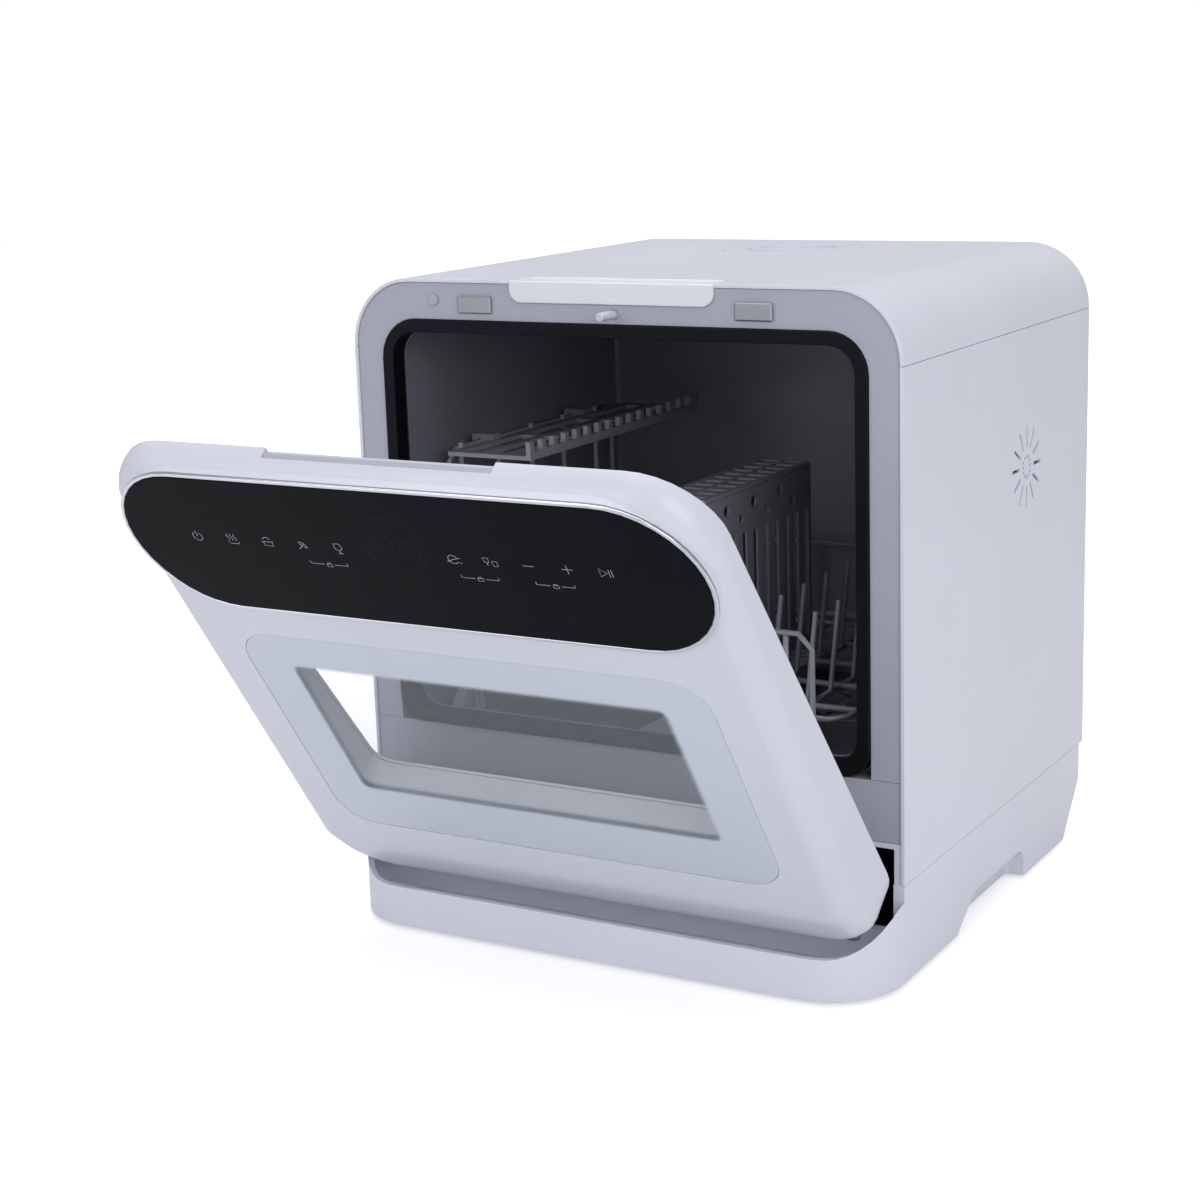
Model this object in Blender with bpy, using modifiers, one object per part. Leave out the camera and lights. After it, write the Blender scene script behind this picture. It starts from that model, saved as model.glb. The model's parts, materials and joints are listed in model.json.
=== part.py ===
"""Countertop dishwasher with a drop-down door, a wire rack and its working parts.

Metres, +Z up, the door faces -Y. Every piece is drawn with the door shut and with the cabinet's
front plane at y = 0. Moving pieces then hang on empties that lie on their joints, and the door
is turned down to its rest angle.
"""
import bpy
import bmesh
from math import atan2, cos, pi, radians, sin, tan
from mathutils import Matrix, Vector

# Cabinet
WIDTH = 0.420
DEPTH = 0.364
HEIGHT = 0.462
CORNER_RADIUS = 0.048
SHELL_WALL = 0.0025
UPPER_SEAM_DROP = 0.049
LOWER_SEAM_HEIGHT = 0.071
GAP = 0.0003
WELD = 0.00001
OVERRUN = 0.010

HALF = WIDTH / 2
INNER_HALF = HALF - SHELL_WALL - GAP
UPPER_SEAM = HEIGHT - UPPER_SEAM_DROP
BACK_PLATE = DEPTH - SHELL_WALL

# Base
FOOT_HEIGHT = 0.003
FOOT_RADIUS = 0.010
FOOT_INSET = 0.045
FRONT_FOOT_BACK = 0.039
REAR_FOOT_INSET = 0.078
BASE_FLOOR = 0.005
BASE_WALL = 0.004
CHIN_REACH = 0.054
CHIN_HEIGHT = 0.032
CHIN_CORNER = 0.052
CHIN_WALL = 0.0045
REAR_CORNER = 0.010
BAY_CORNER = 0.036
TROUGH_FLOOR = 0.012
LEDGE_HALF = 0.165
LEDGE_WIDTH = 0.016
LEDGE_DROP = 0.007
RIB_X = 0.017
RIB_WIDTH = 0.003
RIB_DROP = 0.002
LEDGE_SLOT = 0.012
BULKHEAD = 0.008
UNDERCUT_LENGTH = 0.044
UNDERCUT_HEIGHT = 0.050
HAND_NOTCH_INSET = 0.134
HAND_NOTCH_LENGTH = 0.135
HAND_NOTCH_RAKE = 0.034
HAND_NOTCH_DEPTH = 0.014
HAND_NOTCH_HEIGHT = 0.022
HAND_NOTCH_ROUND = 0.012
HAND_NOTCH_EASE = 0.002

FRONT_FOOT_Y = FRONT_FOOT_BACK - CHIN_REACH
REAR_FOOT_Y = DEPTH - REAR_FOOT_INSET
BASE_TOP_OF_FLOOR = FOOT_HEIGHT + BASE_FLOOR
HAND_NOTCH_BACK = DEPTH - HAND_NOTCH_INSET
HAND_NOTCH_FRONT = HAND_NOTCH_BACK - HAND_NOTCH_LENGTH

# Front frame, sill and gasket
FRAME_INSET = 0.0015
FRAME_THICKNESS = 0.012
SIDE_BAND = 0.024
TOP_BAND = 0.028
OPENING_RADIUS = 0.028
SILL_LOW = 0.099
SILL_TALL = 0.0415
GASKET_WIDTH = 0.009
GASKET_PROUD = 0.0006
GASKET_ROUND = 0.0015

SILL_TOP = SILL_LOW + SILL_TALL
FRAME_BACK = FRAME_INSET + FRAME_THICKNESS

# Hinge bays in the base, and the hinges that stand in them
HINGE_REACH = 0.0326
HINGE_HEIGHT = 0.047
BAY_EDGE = 0.008
BAY_WIDTH = 0.020
BAY_DROP = 0.009
BAY_HEAD = 0.004
BRACKET_THICKNESS = 0.0025
HINGE_EYE = 0.0055
HINGE_PIN = 0.003
PIN_HEAD = 0.005
PIN_HEAD_THICKNESS = 0.0015
ARM_RISE = 0.103
ARM_BEND_RISE = 0.057
ARM_ROOM = 0.0015
BRACKET_FOOT = 0.014

BAY_OUTER_X = HALF - BAY_EDGE
BAY_INNER_X = BAY_OUTER_X - BAY_WIDTH
BAY_LOW = HINGE_HEIGHT - BAY_DROP
BAY_HIGH = SILL_LOW - BAY_HEAD
ARM_TOP = HINGE_HEIGHT + ARM_RISE
ARM_BEND = HINGE_HEIGHT + ARM_BEND_RISE

# Handle cup, magnets, plug and release pin in the frame's top band
CUP_HALF_WIDTH = 0.078
CUP_TALL = 0.0152
CUP_PROUD = 0.001
CUP_DEPTH = 0.030
CUP_WALL = 0.0035
CUP_CORNER = 0.009
MAGNET_ASIDE = 0.0287
MAGNET_DROP = 0.0173
MAGNET_WIDTH = 0.027
MAGNET_TALL = 0.012
MAGNET_PROUD = 0.0012
MAGNET_ROUND = 0.002
PLUG_ASIDE = 0.0343
PLUG_DROP = 0.0145
PLUG_RADIUS = 0.004
RELEASE_X = 0.0025
RELEASE_DROP = 0.0215
RELEASE_RADIUS = 0.003
RELEASE_PROUD = 0.018
RELEASE_TAIL = 0.052

CUP_LOW = HEIGHT - CUP_TALL
MAGNET_X = CUP_HALF_WIDTH + MAGNET_ASIDE
MAGNET_HEIGHT = HEIGHT - MAGNET_DROP
PLUG_X = MAGNET_X + PLUG_ASIDE
PLUG_HEIGHT = HEIGHT - PLUG_DROP
RELEASE_HEIGHT = HEIGHT - RELEASE_DROP

# Tub
TUB_WALL = 0.002
TUB_SIDE = 0.030
TUB_TOP_DROP = 0.034
TUB_FLOOR_DROP = 0.0225
TUB_BACK_INSET = 0.042
TUB_ROUND = 0.008
MOUTH_LEDGE = 0.001
MOUTH_RADIUS = 0.020

TUB_HALF = HALF - TUB_SIDE
TUB_TOP = HEIGHT - TUB_TOP_DROP
TUB_FLOOR = SILL_TOP - TUB_FLOOR_DROP
TUB_BACK = DEPTH - TUB_BACK_INSET
MOUTH_LOW = SILL_TOP + GASKET_WIDTH + MOUTH_LEDGE

# Door, drawn shut
DOOR_SIDE_GAP = 0.001
DOOR_BACK_GAP = 0.0015
DOOR_WALL = 0.003
FACE_TOP_REACH = 0.0225
CREASE_REACH = 0.052
CREASE_RISE = 0.063
TOE_REACH = 0.038
TOE_GAP = 0.002
TOE_CHAMFER = 0.013
DOOR_LOW_CORNER = 0.042
DOOR_ROLL = 0.017
DOOR_CORNER_STEPS = 8
ROLL_STEPS = 5
DOOR_REST_ANGLE = radians(39.0)
LINER_THICKNESS = 0.003
LINER_RISE = 0.015
TRAY_INSET = 0.040
TRAY_LOW_RISE = 0.015
TRAY_TOP_DROP = 0.124
TRAY_FRONT = 0.0225
TRAY_WALL = 0.0025
PIN_POCKET = 0.0065
STRIP_OVERLAP = 0.002
STRIP_TALL = 0.012
STRIP_TOP_DROP = 0.0012
STRIP_FRONT = 0.009

TOE_HEIGHT = CHIN_HEIGHT + TOE_GAP
CREASE_HEIGHT = TOE_HEIGHT + CREASE_RISE
FACE_LEAN = atan2(CREASE_REACH - FACE_TOP_REACH, HEIGHT - CREASE_HEIGHT)
FACE_LENGTH = (HEIGHT - CREASE_HEIGHT) / cos(FACE_LEAN)
LINER_LOW = HINGE_HEIGHT + LINER_RISE
TRAY_HALF_WIDTH = HALF - TRAY_INSET
TRAY_LOW = CREASE_HEIGHT + TRAY_LOW_RISE
TRAY_HIGH = HEIGHT - TRAY_TOP_DROP
STRIP_HALF_WIDTH = CUP_HALF_WIDTH + STRIP_OVERLAP
STRIP_LOW = HEIGHT - STRIP_TALL

# Control panel on the door's face
PILL_DROP = 0.0036
PILL_HEIGHT = 0.118
PILL_INSET = 0.005
PILL_BOSS = 0.0128
PILL_PROUD = 0.0018
PILL_WALL = 0.004
PILL_FLOOR = 0.002
PILL_SINK = 0.0005
TRIM_WIDTH = 0.0024
PANEL_GLASS = 0.003
BOARD_INSET = 0.055
BOARD_DROP = 0.030
BOARD_HEIGHT = 0.060
BOARD_THICKNESS = 0.0016

PILL_HALF_WIDTH = HALF - PILL_INSET
BOARD_HALF_WIDTH = PILL_HALF_WIDTH - BOARD_INSET

# Window on the door's face
WINDOW_BELOW_PILL = 0.0259
WINDOW_FOOT_MARGIN = 0.0247
WINDOW_INSET = 0.040
WINDOW_RADIUS = 0.026
WINDOW_GLASS = 0.004
CLEAR_SIDE_MARGIN = 0.030
CLEAR_TOP_MARGIN = 0.0255
CLEAR_LOW_MARGIN = 0.040
WINDOW_LEDGE = 0.005
INNER_GLASS = 0.0035
INNER_LAP = 0.008

WINDOW_DROP = PILL_DROP + PILL_HEIGHT + WINDOW_BELOW_PILL
WINDOW_HEIGHT = FACE_LENGTH - WINDOW_DROP - WINDOW_FOOT_MARGIN
WINDOW_HALF_WIDTH = HALF - WINDOW_INSET
CLEAR_HALF_WIDTH = WINDOW_HALF_WIDTH - CLEAR_SIDE_MARGIN

# Rack, its wheels, shelf and basket
RACK_SIDE_ROOM = 0.020
RACK_FRONT = 0.022
RACK_BACK_ROOM = 0.022
RACK_RISE = 0.054
RAIL_RISE = 0.057
FENCE_RISE = 0.162
WIRE = 0.0021
WIRE_LAP = 0.0026
SUNK_SHARE = 0.37
WIRE_BEND = 0.010
WHEEL_RADIUS = 0.0175
WHEEL_WIDTH = 0.008
FRONT_WHEEL_INSET = 0.040
REAR_WHEEL_INSET = 0.030
WHEEL_OFFSET = 0.004
WHEEL_TYRE = 0.005
WHEEL_DISH = 0.0016
POST_POKE = 0.004
TINE_HEIGHT = 0.060
TINE_SLANT = 0.016
SHELF_REACH = 0.078
SHELF_FRONT_INSET = 0.008
SHELF_BACK_INSET = 0.014
SHELF_THICKNESS = 0.003
SHELF_START = 0.008
HOOK_WIDTH = 0.010
HOOK_HALF = 0.006
COMB_HEIGHT = 0.010
COMB_WIDTH = 0.004
COMB_PITCH = 0.016
COMB_TOOTH = 0.005
BASKET_ASIDE = 0.110
BASKET_WIDTH = 0.042
BASKET_FRONT_INSET = 0.014
BASKET_LENGTH = 0.170
BASKET_HEIGHT = 0.134
BASKET_WALL = 0.0018
BASKET_SLOT = 0.007
BASKET_BAND = 0.030
BASKET_HOLE = 0.0045
LID_THICKNESS = 0.003

RACK_HALF_WIDTH = TUB_HALF - RACK_SIDE_ROOM
RACK_BACK = TUB_BACK - RACK_BACK_ROOM
RACK_FLOOR = TUB_FLOOR + RACK_RISE
RACK_RAIL = RACK_FLOOR + RAIL_RISE
FENCE_RAIL = RACK_FLOOR + FENCE_RISE
WHEEL_FRONT_Y = RACK_FRONT + FRONT_WHEEL_INSET
WHEEL_REAR_Y = RACK_BACK - REAR_WHEEL_INSET
SHELF_FRONT = RACK_FRONT + SHELF_FRONT_INSET
SHELF_BACK = RACK_BACK - SHELF_BACK_INSET
BASKET_RIGHT = RACK_HALF_WIDTH - BASKET_ASIDE
BASKET_FRONT = RACK_FRONT + BASKET_FRONT_INSET

# Spray arm, filter and pumps
ARM_ROUND_ROOM = 0.010
ARM_HALF_WIDTH = 0.017
ARM_LIFT = 0.0125
ARM_THICKNESS = 0.007
ARM_HUB = 0.020
ARM_HUB_HEIGHT = 0.011
ARM_JET = 0.0016
RISER_RADIUS = 0.012
RISER_STUB = 0.006
NUT_RADIUS = 0.011
NUT_HEIGHT = 0.007
PUMP_RADIUS = 0.038
PUMP_MOTOR = 0.028
PUMP_DROP = 0.038
PUMP_VOLUTE = 0.028
PUMP_ROOM = 0.002
FILTER_BACK_INSET = 0.087
FILTER_RADIUS = 0.046
FILTER_CUP = 0.024
FILTER_THICKNESS = 0.0025
FILTER_DEPTH = 0.038
SUMP_DEPTH = 0.054
SUMP_WALL = 0.003
DRAIN_INSET = 0.100
DRAIN_BACK_INSET = 0.102
DRAIN_RADIUS = 0.021
DRAIN_HEIGHT = 0.044
HEATER_INSET = 0.110
HEATER_START = 0.042
HEATER_RADIUS = 0.016
HEATER_LENGTH = 0.120

ARM_Y = (FRAME_BACK + TUB_BACK) / 2
ARM_RADIUS = (TUB_BACK - FRAME_BACK) / 2 - TUB_WALL - ARM_ROUND_ROOM
ARM_LOW = TUB_FLOOR + ARM_LIFT
PUMP_VOLUTE_HIGH = TUB_FLOOR - PUMP_DROP
PUMP_VOLUTE_LOW = PUMP_VOLUTE_HIGH - PUMP_VOLUTE
FILTER_X = PUMP_RADIUS + FILTER_RADIUS + PUMP_ROOM
FILTER_Y = TUB_BACK - FILTER_BACK_INSET
DRAIN_X = DRAIN_INSET - HALF
DRAIN_Y = DEPTH - DRAIN_BACK_INSET
HEATER_X = HEATER_INSET - HALF
HEATER_Y = BULKHEAD + HEATER_START + HEATER_LENGTH / 2

# Tank, filler and cap
TANK_INSET = 0.060
TANK_LOW_RISE = 0.032
TANK_BACK_GAP = 0.003
TANK_WALL = 0.0024
TANK_TOP_DROP = 0.017
TANK_SHELF_RIM = 0.0085
CAP_BACK_INSET = 0.079
CAP_RADIUS = 0.0535
CAP_THICKNESS = 0.0032
DISH_RADIUS = 0.0355
DISH_DEPTH = 0.009
DISH_WALL = 0.0022
GRIP_WIDTH = 0.009
NECK_INNER = 0.040
NECK_OUTER = 0.047
SEAL_THICKNESS = 0.003

TANK_HALF_WIDTH = HALF - TANK_INSET
TANK_LOW = TUB_FLOOR + TANK_LOW_RISE
TANK_SHELF_TOP = HEIGHT - TANK_TOP_DROP
TANK_SHELF_HALF = CAP_RADIUS + TANK_SHELF_RIM
CAP_Y = DEPTH - CAP_BACK_INSET
TANK_SHELF_FRONT = CAP_Y - TANK_SHELF_HALF

# Fan behind the right side's vent
VENT_BACK_INSET = 0.136
VENT_DROP = 0.149
VENT_RADIUS = 0.0295
VENT_INNER = 0.0145
VENT_EYE_START = 0.006
VENT_EYE_END = 0.0088
VENT_SLOT = 0.0024
FAN_HALF = 0.033
FAN_BORE = 0.030
FAN_BACK_WALL = 0.002
FAN_HUB = 0.009
FAN_TIP = 0.0275
BLADE_THICKNESS = 0.0018

VENT_Y = DEPTH - VENT_BACK_INSET
VENT_HEIGHT = HEIGHT - VENT_DROP

# Boards in the base, and fittings on the back
POWER_BOARD_INSET = 0.080
POWER_BOARD_START = 0.027
POWER_BOARD_WIDTH = 0.070
POWER_BOARD_LENGTH = 0.110
POWER_BOARD_THICKNESS = 0.0016
VALVE_INSET = 0.110
VALVE_WIDTH = 0.030
VALVE_LENGTH = 0.034
FITTING_RISE = 0.024
SPIGOT_INSET = 0.060
SPIGOT_RADIUS = 0.009
SPIGOT_PROUD = 0.008
GLAND_INSET = 0.060
GLAND_RADIUS = 0.007
GLAND_PROUD = 0.006
FLANGE = 0.005
FLANGE_THICKNESS = 0.003

POWER_BOARD_X = HALF - POWER_BOARD_INSET
POWER_BOARD_Y = BULKHEAD + POWER_BOARD_START + POWER_BOARD_LENGTH / 2
VALVE_X = HALF - VALVE_INSET
FITTING_HEIGHT = LOWER_SEAM_HEIGHT + FITTING_RISE
SPIGOT_X = SPIGOT_INSET - HALF
GLAND_X = HALF - GLAND_INSET


# Workshop

def new_collection(name):
    collection = bpy.data.collections.new(name)
    bpy.context.scene.collection.children.link(collection)
    return collection


for old in list(bpy.data.objects):
    bpy.data.objects.remove(old, do_unlink=True)
PARTS = new_collection("countertop_dishwasher")
CUTTERS = new_collection("cutters")


def material(name, colour, roughness, metallic=0.0):
    made = bpy.data.materials.new(name)
    made.use_nodes = True
    shader = made.node_tree.nodes["Principled BSDF"]
    shader.inputs["Base Color"].default_value = (*colour, 1.0)
    shader.inputs["Roughness"].default_value = roughness
    shader.inputs["Metallic"].default_value = metallic
    return made


WHITE = material("white_plastic", (0.80, 0.81, 0.87), 0.35)
GREY = material("grey_frame", (0.36, 0.38, 0.43), 0.40)
DARK_TUB = material("dark_tub", (0.05, 0.053, 0.062), 0.35)
RUBBER = material("black_rubber", (0.012, 0.012, 0.014), 0.55)
BLACK_GLASS = material("panel_glass", (0.008, 0.010, 0.012), 0.12)
PALE_GLASS = material("window_glass", (0.62, 0.70, 0.73), 0.05)
CHROME = material("bright_trim", (0.75, 0.76, 0.78), 0.12, 1.0)
STEEL = material("steel", (0.45, 0.50, 0.55), 0.30, 1.0)
COATED_WIRE = material("coated_wire", (0.13, 0.14, 0.16), 0.35)
DARK_PLASTIC = material("dark_plastic", (0.07, 0.075, 0.09), 0.45)
PALE_PLASTIC = material("pale_plastic", (0.62, 0.64, 0.68), 0.40)
BOARD_GREEN = material("circuit_board", (0.05, 0.20, 0.09), 0.50)
TANK_PLASTIC = material("tank_plastic", (0.70, 0.74, 0.78), 0.40)
MOTOR = material("motor_housing", (0.28, 0.27, 0.26), 0.45)


# Shapes

def mesh_object(name, build):
    shape = bmesh.new()
    build(shape)
    mesh = bpy.data.meshes.new(name)
    shape.to_mesh(mesh)
    shape.free()
    made = bpy.data.objects.new(name, mesh)
    CUTTERS.objects.link(made)
    return made


def box(name, low, high):
    """A block between two corners."""
    low = Vector(low)
    high = Vector(high)

    def build(shape):
        bmesh.ops.create_cube(shape, size=1.0)
        bmesh.ops.scale(shape, vec=high - low, verts=shape.verts)
        bmesh.ops.translate(shape, vec=(low + high) / 2, verts=shape.verts)
    return mesh_object(name, build)


AXIS_TURN = {
    "X": Matrix(((0, 0, 1), (1, 0, 0), (0, 1, 0))).to_4x4(),
    "Y": Matrix(((1, 0, 0), (0, 0, -1), (0, 1, 0))).to_4x4(),
    "Z": Matrix.Identity(4),
}
AXIS_VECTOR = {"X": Vector((1, 0, 0)), "Y": Vector((0, 1, 0)), "Z": Vector((0, 0, 1))}


def rod(name, centre, radius, length, axis, sides=32):
    """A cylinder about an axis through its centre."""
    turn = AXIS_VECTOR["Z"].rotation_difference(AXIS_VECTOR[axis]).to_matrix().to_4x4()

    def build(shape):
        bmesh.ops.create_cone(shape, cap_ends=True, segments=sides, radius1=radius,
                              radius2=radius, depth=length,
                              matrix=Matrix.Translation(centre) @ turn)
    return mesh_object(name, build)


def rounded(left, right, low, high, radii, steps=6):
    """A rectangle with a radius for each corner: low left, low right, high right, high left."""
    corners = ((left, low, 1, 1, pi), (right, low, -1, 1, 1.5 * pi),
               (right, high, -1, -1, 0.0), (left, high, 1, -1, 0.5 * pi))
    points = []
    for (u, v, to_u, to_v, start), radius in zip(corners, radii):
        if radius <= 0:
            points.append((u, v))
            continue
        for step in range(steps + 1):
            angle = start + 0.5 * pi * step / steps
            points.append((u + to_u * radius + radius * cos(angle),
                           v + to_v * radius + radius * sin(angle)))
    return points


def settle(target):
    """Applies a piece's modifiers and its place, so that it can be worked on again."""
    bpy.context.view_layer.update()
    graph = bpy.context.evaluated_depsgraph_get()
    mesh = bpy.data.meshes.new_from_object(target.evaluated_get(graph))
    mesh.transform(target.matrix_basis)
    target.modifiers.clear()
    target.data = mesh
    target.matrix_basis = Matrix.Identity(4)
    return target


def curve_to_mesh(curve_object):
    """The curve as a welded mesh object, which can be cut and joined."""
    bpy.context.view_layer.update()
    graph = bpy.context.evaluated_depsgraph_get()
    mesh = bpy.data.meshes.new_from_object(curve_object.evaluated_get(graph))
    shape = bmesh.new()
    shape.from_mesh(mesh)
    bmesh.ops.remove_doubles(shape, verts=shape.verts, dist=WELD)
    bmesh.ops.recalc_face_normals(shape, faces=shape.faces)
    shape.to_mesh(mesh)
    shape.free()
    made = bpy.data.objects.new(curve_object.name, mesh)
    made.matrix_world = curve_object.matrix_world.copy()
    bpy.data.objects.remove(curve_object, do_unlink=True)
    CUTTERS.objects.link(made)
    return made


def curve_object(name, paths, closed, dimensions):
    curve = bpy.data.curves.new(name, "CURVE")
    curve.dimensions = dimensions
    for path in paths:
        spline = curve.splines.new("POLY")
        spline.points.add(len(path) - 1)
        for point, place in zip(spline.points, path):
            point.co = (*place, 1.0)
        spline.use_cyclic_u = closed
    made = bpy.data.objects.new(name, curve)
    CUTTERS.objects.link(made)
    return made


def slab(name, outlines, axis, low, high):
    """Flat outlines, the first one solid and those inside it holes, made thick along an axis."""
    flat = curve_object(name, [[(u, v, 0.0) for u, v in path] for path in outlines], True, "2D")
    flat.data.fill_mode = "BOTH"
    flat.data.extrude = (high - low) / 2
    made = curve_to_mesh(flat)
    middle = AXIS_VECTOR[axis] * ((low + high) / 2)
    made.data.transform(Matrix.Translation(middle) @ AXIS_TURN[axis])
    return made


def wire(name, path, radius=WIRE, resolution=1, closed=False):
    """A round wire along straight runs."""
    bent = curve_object(name, [path], closed, "3D")
    bent.data.bevel_depth = radius
    bent.data.bevel_resolution = resolution
    bent.data.use_fill_caps = not closed
    return curve_to_mesh(bent)


def turned(name, profile, centre, sides=32):
    """A profile of (radius, height) points, top to bottom, turned about a vertical axis."""
    def build(shape):
        points = [shape.verts.new((radius, 0.0, height)) for radius, height in profile]
        for first, second in zip(points, points[1:]):
            shape.edges.new((first, second))
    made = mesh_object(name, build)
    screw = made.modifiers.new("turn", "SCREW")
    screw.steps = sides
    screw.render_steps = sides
    screw.use_merge_vertices = True
    screw.merge_threshold = WELD
    made.location = centre
    settle(made)
    shape = bmesh.new()
    shape.from_mesh(made.data)
    bmesh.ops.remove_doubles(shape, verts=shape.verts, dist=WELD)
    bmesh.ops.recalc_face_normals(shape, faces=shape.faces)
    shape.to_mesh(made.data)
    shape.free()
    return made


def ring(name, centre, inner, outer, low, high, sides=32):
    """An upright tube: centre gives x and y."""
    profile = ((outer, high), (outer, low), (inner, low), (inner, high), (outer, high))
    return turned(name, profile, (centre[0], centre[1], 0.0), sides)


def soften(target, width, segments=2):
    """Rounds a piece's sharp edges."""
    bevel = target.modifiers.new("rounded_edges", "BEVEL")
    bevel.width = width
    bevel.segments = segments
    bevel.limit_method = "ANGLE"
    bevel.angle_limit = radians(40)
    return settle(target)


def tidy(target):
    """Welds the stray slivers that a cut can leave."""
    shape = bmesh.new()
    shape.from_mesh(target.data)
    bmesh.ops.remove_doubles(shape, verts=shape.verts, dist=WELD)
    bmesh.ops.dissolve_degenerate(shape, edges=shape.edges, dist=WELD)
    shape.to_mesh(target.data)
    shape.free()


def combine(target, operation, others):
    for other in others:
        tool = target.modifiers.new(operation.lower(), "BOOLEAN")
        tool.operation = operation
        tool.solver = "EXACT"
        tool.object = other
        other.hide_render = True
        other.display_type = "WIRE"
    settle(target)
    tidy(target)
    for other in others:
        bpy.data.objects.remove(other, do_unlink=True)
    return target


def cut(target, *others):
    return combine(target, "DIFFERENCE", others)


def join(target, *others):
    return combine(target, "UNION", others)


def join_all(pieces):
    """One body out of many crossing pieces."""
    first = pieces[0]
    group = new_collection("crossing_pieces")
    for piece in pieces[1:]:
        CUTTERS.objects.unlink(piece)
        group.objects.link(piece)
    tool = first.modifiers.new("weld", "BOOLEAN")
    tool.operation = "UNION"
    tool.solver = "EXACT"
    tool.operand_type = "COLLECTION"
    tool.collection = group
    tool.use_self = True
    settle(first)
    for piece in pieces[1:]:
        bpy.data.objects.remove(piece, do_unlink=True)
    bpy.data.collections.remove(group)
    return first


def pivot(name, place, parent=None):
    """An empty on a joint's axis."""
    made = bpy.data.objects.new(name, None)
    PARTS.objects.link(made)
    made["drawn_at"] = place
    made.parent = parent
    made.location = Vector(place)
    if parent is not None:
        made.location = Vector(place) - Vector(parent["drawn_at"])
    return made


ASSEMBLY = pivot("assembly", (0.0, 0.0, 0.0))


def node(name, shape, look, holder=ASSEMBLY):
    """Names a finished piece, gives it its material and hangs it on its joint's empty."""
    shape.name = name
    shape.data.name = name
    shape.data.materials.clear()
    shape.data.materials.append(look)
    CUTTERS.objects.unlink(shape)
    PARTS.objects.link(shape)
    shape.data.shade_smooth()
    shape.data.set_sharp_from_angle(angle=radians(35))
    shape.data.transform(Matrix.Translation(-Vector(holder["drawn_at"])))
    shape.parent = holder
    return shape


SIDES = (("left", -1), ("right", 1))


def span(first, second):
    """Two bounds in rising order, for a piece mirrored to the other side."""
    return min(first, second), max(first, second)


# Base with its chin, trough, hinge bays and hand notches

def notch_outline():
    """A hand notch's side view: raked at the front, rounded at the back."""
    top = FOOT_HEIGHT + HAND_NOTCH_HEIGHT
    outline = rounded(HAND_NOTCH_FRONT, HAND_NOTCH_BACK, -OVERRUN, top, (0, 0, HAND_NOTCH_ROUND, 0))
    return outline[:-1] + [(HAND_NOTCH_FRONT + HAND_NOTCH_RAKE, top), (HAND_NOTCH_FRONT, FOOT_HEIGHT)]


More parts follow.
